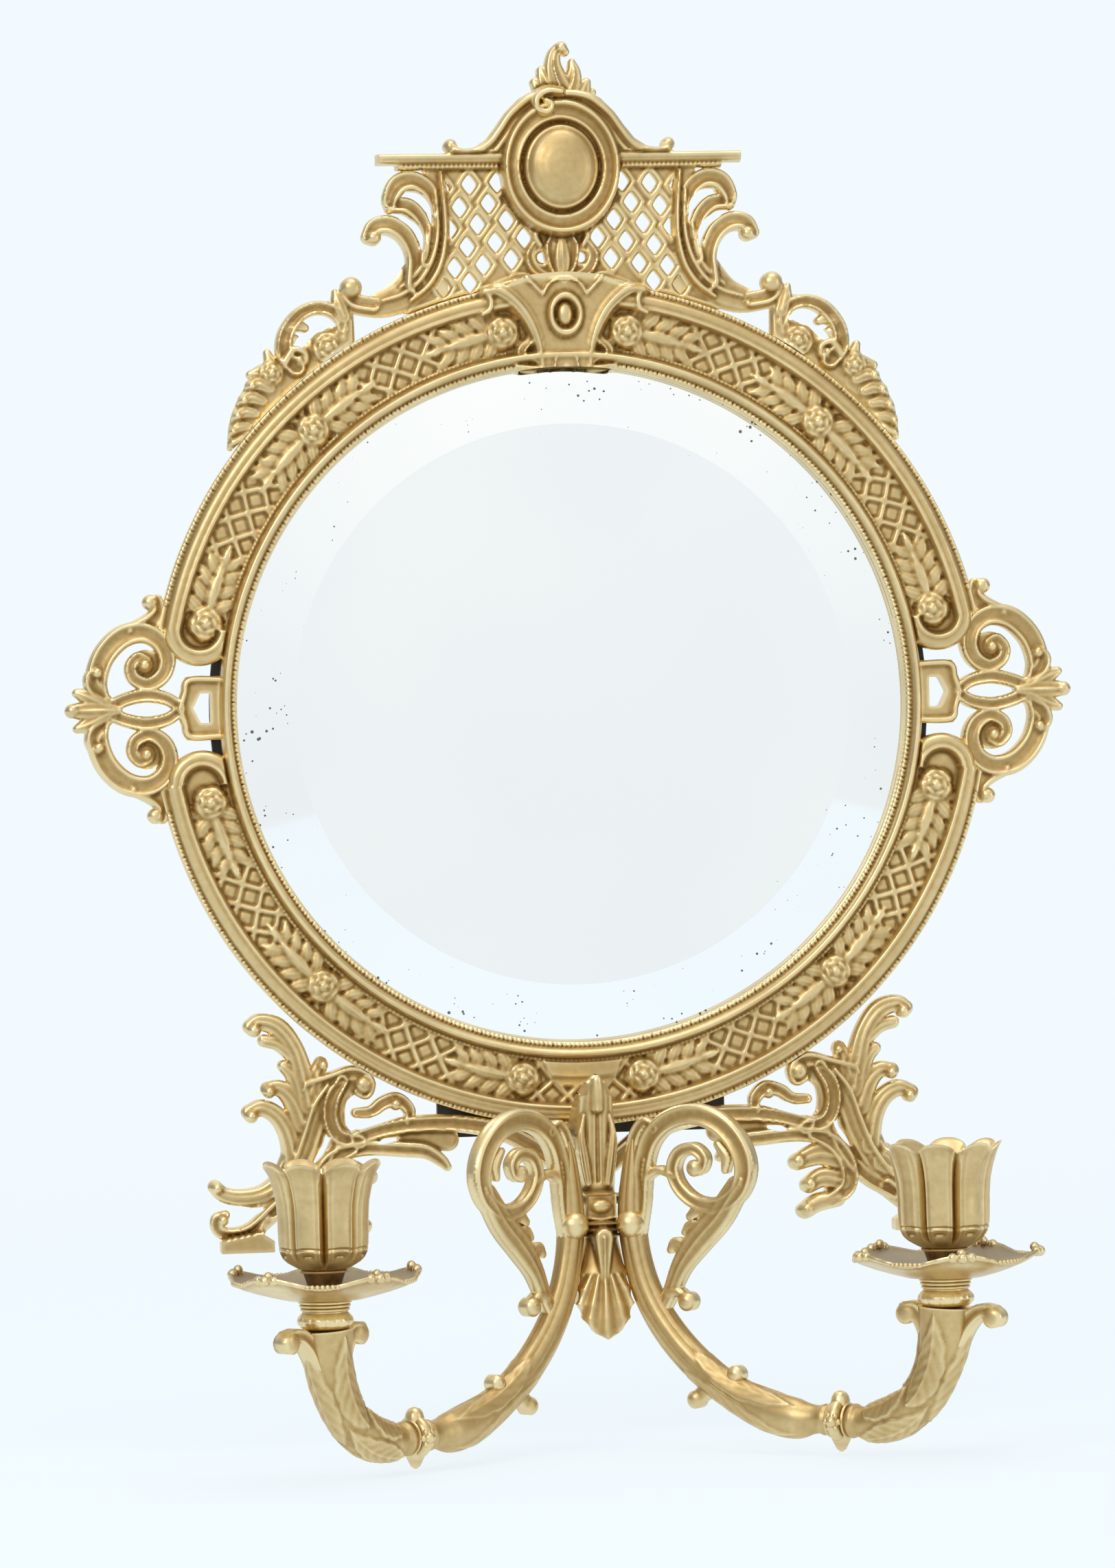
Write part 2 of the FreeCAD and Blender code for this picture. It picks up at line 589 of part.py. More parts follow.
def base_scrolls():
    """Right wing of the base: scrolls, leaves and tail."""
    return [
        ribbon([(79, -149.6), (70, -146.8), (58, -145.6), (44, -146), (30, -148.8), (18, -155), (4, -166)],
               [5, 5.2, 5.4, 5.6, 5.8, 6, 6]),
        ribbon([(86, -154.6), (74, -153.6), (64, -154.4), (56, -155.2), (50.6, -158.6), (48.4, -161)],
               [5, 5, 5, 5, 4.4, 3.4]),
        ribbon([(62, -146), (62.4, -139.6), (67, -136.8), (72.6, -139.2), (79, -140.4)], [4, 4, 4.2, 3.6, 3]),
        ribbon([(78.4, -133.6), (77.6, -130.2), (80.8, -127.4), (85.2, -129), (87.4, -136), (87, -144),
                (83.4, -149.4), (77, -151.4)], [5, 4.6, 4.6, 5, 5, 5, 5, 4.6]),
        ribbon([(86, -129), (92, -134), (96, -143), (99.6, -153), (105, -163.6), (112, -172)],
               [6, 8, 10, 10, 9, 9]),
        ribbon([(88.4, -151), (93, -160.4), (101, -169.6), (111, -175.6)], [4.6, 4.6, 4.6, 4.6]),
        ribbon([(96, -138), (98.4, -127), (101.2, -117.4), (106.4, -111), (112.6, -108.8), (116.2, -110.2)],
               [8, 7.2, 5.4, 5, 4.8, 4]),
        leaf([(96, -134), (93.6, -128), (92.4, -123.4)], [6.4, 5.4, 3.6]),
        leaf([(99, -135), (101.8, -127.6), (105, -124)], [5.4, 4.6, 3.4]),
        leaf([(98.6, -144), (102, -136), (106.6, -132), (111.2, -132.6)], [8, 6.6, 5, 4]),
        leaf([(102, -158), (104, -148.4), (107.8, -142), (112.6, -139), (117.2, -140.2)],
               [7, 5.8, 5.2, 5.2, 4.4]),
        ribbon([(82, -153.4), (89.4, -157.4), (94, -165), (93.4, -173), (87.4, -177.4)],
               [5, 5.6, 5.8, 5.6, 5]),
        leaf([(91, -163), (84, -161), (76.4, -163.6)], [8, 7, 4.6]),
        leaf([(92, -170.6), (85, -169.6), (80.4, -171.6)], [6, 5.6, 4.4]),
        leaf([(89, -176.8), (82.4, -178.2), (78.6, -180.6)], [5, 5.6, 4.6]),
        leaf([(107, -164.6), (113.6, -168.4), (121, -169.4), (127, -168), (130.4, -164.6)],
               [7, 5.4, 5, 4.6, 4]),
        ribbon([(126.4, -175.4), (130, -176.4), (129.6, -180.4), (125, -182.6), (118, -181.6),
                (108, -173.6)], [3, 3.2, 3.8, 4.2, 4.6, 5]),
    ]


def base_apron():
    wings = merge(both_sides(base_scrolls()))
    feet = merge(both_sides([polygon([(110, FOOT_BOTTOM_Z), (128.6, FOOT_BOTTOM_Z), (128.6, FOOT_BOTTOM_Z + 4),
                                      (122, -183.4), (114, -182), (110, FOOT_BOTTOM_Z + 4)])]))
    block = polygon([(-9, -147), (9, -147), (9, -172.5), (-9, -172.5)])
    body = merge([slab(wings, 0, BASE_RELIEF), slab(feet, 0, 8.5), slab(block, 0, SEAT_FRONT)])
    body = body.cut(drum(CASTING_EDGE_R, -1, 20))
    holes = [rod(SCREW_R + THREAD, -1, 5, x, z) for x, z in STRAP_BASE_SCREWS]
    holes += [rod(BOLT_R + THREAD, -1, SEAT_FRONT + 1, 0, z) for z in SPINE_BOLTS_Z]
    return body.cut(holes[0].multiFuse(holes[1:]))


def rear_strap():
    face = polygon([(-51, -129.6), (51, -129.6), (51, -151), (-51, -151)])
    for x, z in STRAP_RING_SCREWS + STRAP_BASE_SCREWS:
        face = face.cut(disc(x, z, SCREW_R + THREAD, ROD_SIDES))
    return slab(face, -BOARD_THICK, 0)


def pan_head_screws(places, seat, reach, radius=SCREW_R, shank=rod):
    """Screws from behind: heads on the seat, tips at the reach."""
    screws = []
    for x, z in places:
        head = rod(radius * 1.9, seat - 1.2, seat, x, z)
        screws.append(head.fuse(shank(radius, seat - 0.1, reach, x, z)).removeSplitter())
    return screws


# ------------------------------------------------------------------ turn buttons
def button_places():
    places = {}
    for row, up in (("upper", 1), ("lower", -1)):
        for side, right in (("left", -1), ("right", 1)):
            turn = math.radians(BUTTON_ANGLE)
            places[row + "_" + side] = (right * BUTTON_RADIUS * math.cos(turn),
                                        up * BUTTON_RADIUS * math.sin(turn))
    return places


def turn_button(x, z):
    """Oval latch with a centre hole; at rest it points at the mirror's centre."""
    inward = Vector(-x, 0, -z).normalize()
    side = Vector(-inward.z, 0, inward.x)
    centre = flat(x, z)
    reach = (BUTTON_LENGTH - BUTTON_WIDTH) / 2
    half = BUTTON_WIDTH / 2
    outline = []
    for index in range(DISC_SIDES):
        angle = 2 * math.pi * (index + 0.5) / DISC_SIDES
        end = math.copysign(reach, math.cos(angle))
        outline.append(centre + inward * (end + half * math.cos(angle)) + side * half * math.sin(angle))
    face = polygon_face(outline)
    face = face.cut(round_hole(x, z, BUTTON_SCREW_R + RUNNING))
    front = -(BOARD_THICK + BUTTON_PLAY)
    return slab(face, front - BUTTON_THICK, front)


# ------------------------------------------------------------------ spine
def leaf_body(sections):
    """Upright loft on the centre line; a section is (z, half width, back, front)."""
    return loft([ring_of(at(0, (back + front) / 2, z), Vector(half_w, 0, 0),
                         Vector(0, (front - back) / 2, 0), ARM_SIDES) for z, half_w, back, front in sections])


def spine():
    """Upright leaf in front of the base that carries both arms."""
    sections = [(-129.5, 2.4, 34.5, 40), (-135, 6.2, 26, 39.5), (-146, 8.2, 14, 38), (-160, 7.4, 14, 37.5),
                (-172, 6.6, 14.5, 39.5), (-186, 6.4, 23, 45), (-200, 9, 36, 48.5), (-210, 10, 43, 50.5),
                (-218.5, 1.5, 49, 52)]
    husk = leaf_body(sections)
    core = Part.makeBox(2 * SPINE_HALF, 26, 32, Vector(-SPINE_HALF, depth(SEAT_FRONT + 26), -179))
    collar = Part.makeBox(2 * SPINE_HALF, 8, 3.2, Vector(-SPINE_HALF, depth(46), -183.6))
    cabochon = polygon_face(ring_of(flat(0, -174), Vector(4.2, 0, 0), Vector(0, 0, 2), DISC_SIDES))
    drop = polygon([(-3.4, -184.4), (3.4, -184.4), (0.9, -205), (-0.9, -205)])
    body = merge([husk, core, collar, slab(cabochon, 34, 43.4), slab(drop, 40, 50.6)])
    seat = Part.makeBox(60, 40, 120, Vector(-30, depth(SEAT_FRONT), -230))
    slots = [Part.makeBox(12, 60, 40, Vector(sign * (SPINE_HALF + 6) - 6, -90, -179)) for sign in (1, -1)]
    body = body.cut(seat).cut(slots[0]).cut(slots[1])
    holes = [rod(BOLT_R + THREAD, SEAT_FRONT - 1, SEAT_FRONT + 11, 0, z) for z in SPINE_BOLTS_Z]
    holes.append(cross_rod(STUD_R + THREAD, SPINE_HALF + 20))
    return body.cut(holes[0].multiFuse(holes[1:]))


SPINE_HALF = 5.6            # half width of the spine where the arms bolt on
CROSS_Z = -172.0            # stud that ties both arms to the spine
CROSS_FRONT = 33.0


def cross_rod(radius, half_length):
    return prism(radius, 2 * half_length, at(-half_length, CROSS_FRONT, CROSS_Z), Vector(1, 0, 0))


# ------------------------------------------------------------------ arms
def place_arm(shape):
    """Turn a shape from the flat arm plane to the right arm's place."""
    placed = shape.copy()
    placed.rotate(Vector(0, 0, 0), Vector(0, 0, 1), -ARM_ANGLE)
    placed.translate(at(ARM_ROOT_X, ARM_ROOT_FRONT, 0))
    return placed


def arm_slab(face, thick=ARM_THICK):
    placed = face.copy()
    placed.translate(Vector(0, thick / 2, 0))
    return placed.extrude(Vector(0, -thick, 0))


def along_arm(radius, start, stop):
    return prism(radius, stop - start, flat(start, KNOP_Z), Vector(1, 0, 0))


KNOP_START = KNOP_S - KNOP_WIDTH / 2
KNOP_STOP = KNOP_S + KNOP_WIDTH / 2


def inner_arm():
    stem = tube([(3.2, -160, 3.6, 3.6), (2.2, -176, 4.8, 4.8), (3.8, -191, 4.9, 4.6), (8.4, -205, 5.2, 4.8),
                 (17, -218, 5.5, 5), (29, -229.5, 5.7, 5.2), (43, -238.4, 6, 5.5), (57, -243.6, 6.6, 6),
                 (68, -245.4, 6.8, 6.4), (KNOP_START, KNOP_Z, 5.1, 5.1)])
    end = Part.makeBox(30, 40, 40, Vector(KNOP_START, -20, KNOP_Z - 20))
    volute = [
        ribbon([(6.8, -174), (7.8, -163), (10.2, -153), (15.2, -146.4), (22.6, -142.8), (31, -142.4),
                (39.6, -146), (46, -152.8), (48.2, -161), (45.4, -168.6), (38, -173.4), (29, -173),
                (22, -168), (19.4, -161.4), (22, -155.4), (28, -153.6), (32.4, -156.8), (31.4, -160.8)],
               [6, 6, 6, 6, 6, 6, 6, 6, 6, 5.6, 5, 4.6, 4.4, 4.2, 4, 3.8, 3.6, 3.4]),
        disc(28.4, -160.6, 3.2),
        ribbon([(2.4, -172), (3.2, -160), (4.4, -151), (8.2, -145.6), (12.6, -147.4)], [4.4, 4.4, 4, 3.8, 3.4]),
        leaf([(8.6, -164), (14, -161.8), (19.4, -164.6)], [3.4, 2.8, 3]),
        ribbon([(44.6, -168.6), (38, -178), (29, -186.6), (22.2, -194), (17.6, -203), (13.6, -210)],
               [6, 6.6, 7, 5.4, 5, 4.6]),
        leaf([(34, -181), (27.4, -176.6)], [6, 3.6]),
        leaf([(24, -190.6), (19.6, -186.4)], [5.6, 3.4]),
        leaf([(17, -204), (20.6, -203.4), (23.6, -205.4)], [4, 3.2, 3]),
        disc(24.4, -206.6, 3.3),
        leaf([(38, -236), (41.8, -231.8)], [5, 3.6]),
        disc(42.8, -231.2, 3.1),
        leaf([(33, -232), (28, -238.6)], [5, 4]),
        disc(26.6, -240.4, 3.1),
    ]
    scroll = arm_slab(merge(volute))
    node = ball(5.0, Vector(1.2, -1.8, -180.2))
    arm = place_arm(merge([stem.cut(end), scroll, node]))
    root = Part.makeBox(9, 16, 22, Vector(SPINE_HALF, depth(41), -178))
    arm = merge([arm, root])
    inside = Part.makeBox(40, 80, 120, Vector(SPINE_HALF - 40, -100, -230))
    below = Part.makeBox(10, 80, 60, Vector(SPINE_HALF - 2, -100, -250))
    arm = arm.cut(inside).cut(below.cut(Part.makeBox(10, 80, 60, Vector(SPINE_HALF + 3, -100, -250))))
    leaf_room = spine_envelope()
    arm = arm.cut(leaf_room)
    blind = place_arm(along_arm(STUD_R + THREAD, KNOP_START - 8, KNOP_START + 1))
    return arm.cut(blind.fuse(cross_rod(STUD_R + THREAD, SPINE_HALF + 5)))


def spine_envelope():
    """Room that the arms leave round the spine's lower leaf."""
    sections = ((-178, 6.8, 17, 42.6), (-184, 6.9, 21.6, 45.4), (-200, 9.3, 35.5, 49), (-210, 10.3, 42.5, 51), (-220, 3, 48, 53))
    return leaf_body(sections)


def arm_collar():
    """Moulded collar with a bud above and a point below."""
    half = KNOP_WIDTH / 2
    lathe = post([(5.4, -half), (6.2, -1.4), (7.6, 0), (6.2, 1.4), (5.4, half)])
    lathe.rotate(Vector(0, 0, 0), Vector(0, 1, 0), 90)
    bud = ball(3.1, flat(0, 6.9))
    point = post([(0.4, -10.6), (2.6, -7.6), (3.4, -5)])
    collar = merge([lathe, bud, point])
    collar.translate(flat(KNOP_S, KNOP_Z))
    return place_arm(collar.cut(along_arm(STUD_R + THREAD, KNOP_START - 1, KNOP_STOP + 1)))


def outer_arm():
    horn = tube([(KNOP_STOP, KNOP_Z, 5.1, 5.1), (96, -246.2, 6.4, 6), (106, -243.2, 6.9, 6.4),
                 (115, -236.2, 7.1, 6.6), (120.8, -226.4, 7.5, 7), (123.8, -215.6, 8.8, 7.8),
                 (CUP_S, HORN_TOP_Z, 9.6, 9)])
    keep = Part.makeBox(80, 60, 80, Vector(KNOP_STOP, -30, HORN_TOP_Z - 80))
    leaves = [
        ribbon([(118, -218), (116, -211), (112.6, -206.2), (109.8, -206.4)], [6, 6, 4.6, 4]),
        disc(110, -208.4, 3.8),
        ribbon([(129, -217), (133, -210.6), (138.4, -206.6), (142.4, -207)], [6, 6, 4.4, 4]),
        disc(143.2, -209.2, 3.6),
    ]
    horn = merge([horn.common(keep), arm_slab(merge(leaves), 8)])
    top = Part.makeBox(18, 18, 10, Vector(CUP_S - 9, -9, HORN_TOP_Z))
    holes = along_arm(STUD_R + THREAD, KNOP_STOP - 1, KNOP_STOP + 8)
    holes = holes.fuse(prism(STUD_R + THREAD, 11, flat(CUP_S, HORN_TOP_Z - 10), Vector(0, 0, 1)))
    return place_arm(horn.cut(top).cut(holes))


def arm_stud():
    return place_arm(along_arm(STUD_R, KNOP_START - 7.5, KNOP_STOP + 7.5))


# ------------------------------------------------------------------ candle cup and what carries it
def on_candle_axis(shape):
    shape.translate(flat(CUP_S, 0))
    return place_arm(shape)


def neck_collar():
    return on_candle_axis(post([(7.4, HORN_TOP_Z), (9.6, HORN_TOP_Z + 3.4, 8.4, SEAT_Z)], STUD_R + THREAD))


def pan_seat():
    return on_candle_axis(post([(8.0, SEAT_Z), (9.0, SEAT_Z + 0.8), (8.2, SEAT_Z + 1.8), (8.9, SEAT_Z + 2.8),
                                (8.9, PAN_Z)], STUD_R + THREAD))


def lobed_ring(radius, wave, z, lift, turn):
    """Wavy ring whose lobes reach out and up."""
    points = []
    for index in range(PAN_LOBE_SIDES * PAN_LOBES):
        angle = 2 * math.pi * index / (PAN_LOBE_SIDES * PAN_LOBES) + math.radians(turn)
        swing = math.cos(PAN_LOBES * (angle - math.radians(turn)))
        reach = radius + wave * swing
        points.append(Vector(reach * math.cos(angle), reach * math.sin(angle), z + lift * swing))
    return points


def drip_pan(turn):
    """Shallow pan whose rim rises to a point at each lobe."""
    rim_z = PAN_Z + PAN_RISE
    under = [lobed_ring(9.6, 0, PAN_Z, 0, turn), lobed_ring(20, 0.3, PAN_Z + 2.2, 0.2, turn),
             lobed_ring(PAN_R, PAN_WAVE, rim_z, PAN_LIFT, turn)]
    over = [lobed_ring(PAN_R - 0.4, PAN_WAVE, rim_z + 1.5, PAN_LIFT, turn),
            lobed_ring(20, 0.3, PAN_Z + 4.2, 0.2, turn), lobed_ring(8.4, 0, PAN_Z + PAN_THICK, 0, turn)]
    bore = prism(STUD_R + THREAD, 20, Vector(0, 0, PAN_Z - 1), Vector(0, 0, 1))
    return on_candle_axis(loft(under + over).cut(bore))


def cup_stem():
    return on_candle_axis(post([(5.8, STEM_Z), (5.8, STEM_Z + 2.6), (7.0, CUP_Z - 1), (8.2, CUP_Z - 0.8),
                                (8.2, CUP_Z)], STUD_R + THREAD))


def petal_ring(radius, swell, z):
    """Outline of rounded petals, each with a few flats."""
    points = []
    for index in range(PETALS * PETAL_SIDES):
        share = (index % PETAL_SIDES) / PETAL_SIDES
        angle = 2 * math.pi * index / (PETALS * PETAL_SIDES)
        reach = radius + swell * math.sin(math.pi * share)
        points.append(Vector(reach * math.cos(angle), reach * math.sin(angle), z))
    return points


def candle_cup():
    """Tulip of grooved petals with a round socket for the candle."""
    sections = [(CUP_Z, 8.0, 0.5), (CUP_Z + 2.6, 11.8, 0.9), (CUP_Z + 7, CUP_WAIST_R - 1.2, 1.1),
                (CUP_Z + 18, CUP_WAIST_R - 1.0, 1.2), (CUP_Z + 28, CUP_WAIST_R + 1.2, 1.2),
                (CUP_TOP_Z, CUP_RIM_R - 1.6, 1.6)]
    body = loft([petal_ring(radius, swell, z) for z, radius, swell in sections])
    flare_z = CUP_TOP_Z - FLARE_DEPTH
    upward = Vector(0, 0, 1)
    socket = Part.makeCylinder(CANDLE_BORE_R, CANDLE_BORE_DEPTH + 0.1, Vector(0, 0, BORE_FLOOR_Z))
    flare = loft([ring_of(Vector(0, 0, z), Vector(radius, 0, 0), Vector(0, radius, 0), OVAL_SIDES)
                  for radius, z in ((CANDLE_BORE_R, flare_z), (CUP_RIM_R - 3.0, CUP_TOP_Z + 0.4))], True)
    nut_room = prism(5.2, BORE_FLOOR_Z - NUT_Z + 1, Vector(0, 0, NUT_Z), upward)
    bore = prism(STUD_R + THREAD, NUT_Z - CUP_Z + 2, Vector(0, 0, CUP_Z - 1), upward)
    body = body.cut(socket).cut(flare).cut(nut_room).cut(bore)
    notch = prism(2.6, 12, Vector(12, 0, CUP_TOP_Z + 1.2), Vector(1, 0, 0))
    notches = []
    for index in range(PETALS):
        turned_notch = notch.copy()
        turned_notch.rotate(Vector(0, 0, 0), Vector(0, 0, 1), 360.0 * index / PETALS)
        notches.append(turned_notch)
    return on_candle_axis(body.cut(notches[0].multiFuse(notches[1:])))


def cup_stud():
    foot = HORN_TOP_Z - 9
    return on_candle_axis(prism(STUD_R, BORE_FLOOR_Z - 0.4 - foot, Vector(0, 0, foot), Vector(0, 0, 1)))


def cup_nut():
    nut = polygon_face(ring_of(Vector(0, 0, NUT_Z), Vector(4.2, 0, 0), Vector(0, 4.2, 0), 6))
    nut = nut.extrude(Vector(0, 0, NUT_HEIGHT))
    return on_candle_axis(nut.cut(prism(STUD_R + THREAD, 6, Vector(0, 0, NUT_Z - 1), Vector(0, 0, 1))))


# ------------------------------------------------------------------ assembly
def mirrored(shape):
    """The left side's piece, from the right side's."""
    return shape.mirror(Vector(0, 0, 0), Vector(1, 0, 0))


def build():
    buttons = button_places()
    screw_seat = -(BOARD_THICK + 2 * BUTTON_PLAY + BUTTON_THICK)
    nodes = {
        "ring_frame": [ring_frame()],
        "mirror_glass": [mirror_glass()],
        "backboard": [backboard()],
        "crest": [crest()],
        "crest_screws": pan_head_screws(CREST_SCREWS, -BOARD_THICK, 3.2),
        "hanging_plate": [hanging_plate()],
        "hanging_rivets": hanging_rivets(),
        "base_apron": [base_apron()],
        "rear_strap": [rear_strap()],
        "strap_screws": pan_head_screws(STRAP_RING_SCREWS, -BOARD_THICK, 3.2)
        + pan_head_screws(STRAP_BASE_SCREWS, -BOARD_THICK, 4.6),
        "turn_button_screws": pan_head_screws(buttons.values(), screw_seat, 3.0, BUTTON_SCREW_R, drum),
        "spine": [spine()],
        "spine_bolts": pan_head_screws([(0, z) for z in SPINE_BOLTS_Z], 0, SEAT_FRONT + 10, BOLT_R),
        "arm_cross_stud": [cross_rod(STUD_R, SPINE_HALF + 4.6)],
    }
    for name, (x, z) in buttons.items():
        nodes["turn_button_" + name] = [turn_button(x, z)]
    pairs = {
        "arm_collars": arm_collar(), "arm_studs": arm_stud(), "neck_collars": neck_collar(),
        "pan_seats": pan_seat(), "cup_stems": cup_stem(), "cup_studs": cup_stud(), "cup_nuts": cup_nut(),
    }
    for name, right in pairs.items():
        nodes[name] = [right, mirrored(right)]
    singles = {"inner_arm": inner_arm(), "outer_arm": outer_arm(), "candle_cup": candle_cup()}
    for name, right in singles.items():
        nodes[name + "_right"] = [right]
        nodes[name + "_left"] = [mirrored(right)]
    nodes["drip_pan_right"] = [drip_pan(RIGHT_PAN_TURN)]
    nodes["drip_pan_left"] = [mirrored(drip_pan(LEFT_PAN_TURN))]
    return nodes


def write(nodes):
    os.makedirs("parts", exist_ok=True)
    for name, solids in nodes.items():
        pieces = [solid for shape in solids for solid in shape.Solids]
        shape = pieces[0] if len(pieces) == 1 else Part.makeCompound(pieces)
        shape.translate(Vector(0, 0, -EYE_Z))
        shape.exportStep("parts/" + name + ".step")
        box = shape.BoundBox
        print("%-26s %2d solids %9.1f mm3 valid %s  x %.1f..%.1f y %.1f..%.1f z %.1f..%.1f" % (
            name, len(pieces), shape.Volume, shape.isValid(), box.XMin, box.XMax, box.YMin, box.YMax,
            box.ZMin, box.ZMax))


write(build())
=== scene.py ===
"""Girandole mirror: looks of the cast gilt-brass frame, the bevelled glass and the two candle arms.

Ornament is drawn in millimetres. x and z are counted from the mirror's centre and "front" is
counted towards the viewer from the back plane of the ring; metres() turns them into the frame.
"""
import math

import bmesh
import bpy
import numpy as np
from bpy.props import FloatProperty, FloatVectorProperty, PointerProperty
from mathutils import Matrix, Vector
from mathutils.geometry import delaunay_2d_cdt


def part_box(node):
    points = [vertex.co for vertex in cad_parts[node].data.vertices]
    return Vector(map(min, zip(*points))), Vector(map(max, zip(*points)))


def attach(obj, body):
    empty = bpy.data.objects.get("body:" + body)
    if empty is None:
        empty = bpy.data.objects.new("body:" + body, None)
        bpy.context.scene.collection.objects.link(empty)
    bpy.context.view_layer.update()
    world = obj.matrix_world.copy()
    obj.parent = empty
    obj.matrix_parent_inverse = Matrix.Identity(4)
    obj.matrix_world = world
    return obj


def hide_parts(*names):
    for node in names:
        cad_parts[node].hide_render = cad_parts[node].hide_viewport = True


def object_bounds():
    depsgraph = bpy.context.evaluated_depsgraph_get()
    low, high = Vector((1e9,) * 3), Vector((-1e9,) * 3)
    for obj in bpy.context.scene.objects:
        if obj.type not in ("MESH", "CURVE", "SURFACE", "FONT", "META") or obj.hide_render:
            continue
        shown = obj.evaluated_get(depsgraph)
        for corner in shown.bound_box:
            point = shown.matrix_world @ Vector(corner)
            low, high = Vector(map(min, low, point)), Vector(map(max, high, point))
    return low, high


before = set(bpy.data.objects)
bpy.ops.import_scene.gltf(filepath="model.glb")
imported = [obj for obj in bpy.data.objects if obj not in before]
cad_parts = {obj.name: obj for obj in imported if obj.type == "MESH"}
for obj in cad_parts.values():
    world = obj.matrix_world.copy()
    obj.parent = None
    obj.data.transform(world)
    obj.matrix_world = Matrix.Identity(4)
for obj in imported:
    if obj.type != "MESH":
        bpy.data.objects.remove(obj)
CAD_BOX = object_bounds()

bl_info = {
    "name": "Girandole mirror",
    "version": (1, 0, 0),
    "blender": (4, 5, 0),
    "location": "View3D > Sidebar > Girandole",
    "description": "Builds the looks of a cast brass girandole mirror round its packed frame",
    "category": "Object",
}

# ------------------------------------------------------------------ sizes read from the frame
GLASS_LOW, GLASS_HIGH = (np.array(corner) * 1000 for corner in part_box("mirror_glass"))
CENTRE_Z = float(GLASS_LOW[2] + GLASS_HIGH[2]) / 2      # mirror's centre, from the hanging eye
WALL_GAP = -1000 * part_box("backboard")[0][1]            # wall to the back plane of the ring
EAR_Z = 1.5                                             # middle of the side ears
FLOOR_GAP = 0.0015                                      # metres from the lowest point down to the floor
FLOOR_REACH = 3.2                                       # metres from the middle of the floor to its edge
BODY = "frame"
FULLER = 1.16               # how much wider flat scrolls and leaves are cast than their tables say
ARM_FULLER = 1.1            # the same for the arms
LAMP_WHITE = (1.0, 0.985, 0.96)

PHOTO_HEIGHT = 2284
FOCAL_PIXELS = 9000
SENSOR = 36.0
AIM = (-7.106, 11.0, -27.96)                            # x, front, z that the camera looks at


def linear(code):
    """Linear colour of an sRGB hex value."""
    channels = [int(code[place:place + 2], 16) / 255 for place in (1, 3, 5)]
    return [c / 12.92 if c <= 0.04045 else ((c + 0.055) / 1.055) ** 2.4 for c in channels]


def metres(points):
    """Model millimetres (x, front, z) to the frame's metres."""
    points = np.asarray(points, float)
    return np.column_stack([points[:, 0], -(WALL_GAP + points[:, 1]), points[:, 2] + CENTRE_Z]) / 1000


# ------------------------------------------------------------------ sizes and colours a user may change
class StageSizes(bpy.types.PropertyGroup):
    """Settings of the stage."""
    paper: FloatVectorProperty(name="Paper", description="Colour of the floor and the room", subtype="COLOR",
                               default=linear("#F2FAFF"))
    softbox: FloatProperty(name="Softbox", description="Power of the main softbox", default=7.0, unit="POWER")
    room: FloatProperty(name="Room light", description="Strength of the light from all round", default=0.7)
    distance: FloatProperty(name="Camera distance", description="From the lens to the aim point",
                            default=2.16214, unit="LENGTH")
    yaw: FloatProperty(name="Camera yaw", description="How far the camera stands to the left",
                       default=math.radians(8), subtype="ANGLE")
    roll: FloatProperty(name="Camera roll", description="Turn about the line of sight",
                        default=math.radians(1.429), subtype="ANGLE")


class GiltColours(bpy.types.PropertyGroup):
    """Colours of the gilding and the pitch of its beads."""
    # Worn gold is wear plus a painted highlight on high places. Shaded gold is tarnish plus painted shade on slopes.
    # The darkest colour is old grime plus painted shade in the hollows.
    worn_and_highlit: FloatVectorProperty(name="Worn and highlit gold", description="Gold rubbed bright on high places", subtype="COLOR",
                              default=linear("#F2DEAE"))
    gold: FloatVectorProperty(name="Gold", description="Gilding on level metal", subtype="COLOR",
                              default=linear("#D0B47E"))
    shade: FloatVectorProperty(name="Shaded gold", description="Tarnished gilding", subtype="COLOR",
                               default=linear("#B39560"))
    dirt_and_shade: FloatVectorProperty(name="Dirt and painted shade", description="Old dirt in the hollows", subtype="COLOR",
                              default=linear("#866A3E"))
    bead_pitch: FloatProperty(name="Bead pitch", description="Spacing of the beads on the ring",
                              default=0.0016, unit="LENGTH")


# ------------------------------------------------------------------ nodes
def feed(tree, node, inputs):
    """Give a node's inputs values, or links from sockets or from the first output of other nodes."""
    for name, value in inputs.items() if isinstance(inputs, dict) else enumerate(inputs):
        if isinstance(value, bpy.types.Node):
            value = value.outputs[0]
        if isinstance(value, bpy.types.NodeSocket):
            tree.links.new(value, node.inputs[name])
        else:
            node.inputs[name].default_value = value


def add(tree, kind, inputs=(), stops=(), **settings):
    """Add a node with its settings and inputs, and the (place, colour) stops of a ramp."""
    node = tree.nodes.new("ShaderNode" + kind)
    for name, value in settings.items():
        setattr(node, name, value)
    feed(tree, node, inputs)
    for _ in stops[2:]:
        node.color_ramp.elements.new(0.5)
    for number, (place, colour) in enumerate(stops):
        node.color_ramp.elements[number].position = place
        node.color_ramp.elements[number].color = (*colour, 1)
    return node


def surface(name, **principled):
    """New material; returns it, its tree, its Principled shader and the place on the object."""
    material = bpy.data.materials.new(name)
    material.use_nodes = True
    tree = material.node_tree
    shader = tree.nodes["Principled BSDF"]
    feed(tree, shader, principled)
    return material, tree, shader, add(tree, "TexCoord").outputs["Object"]


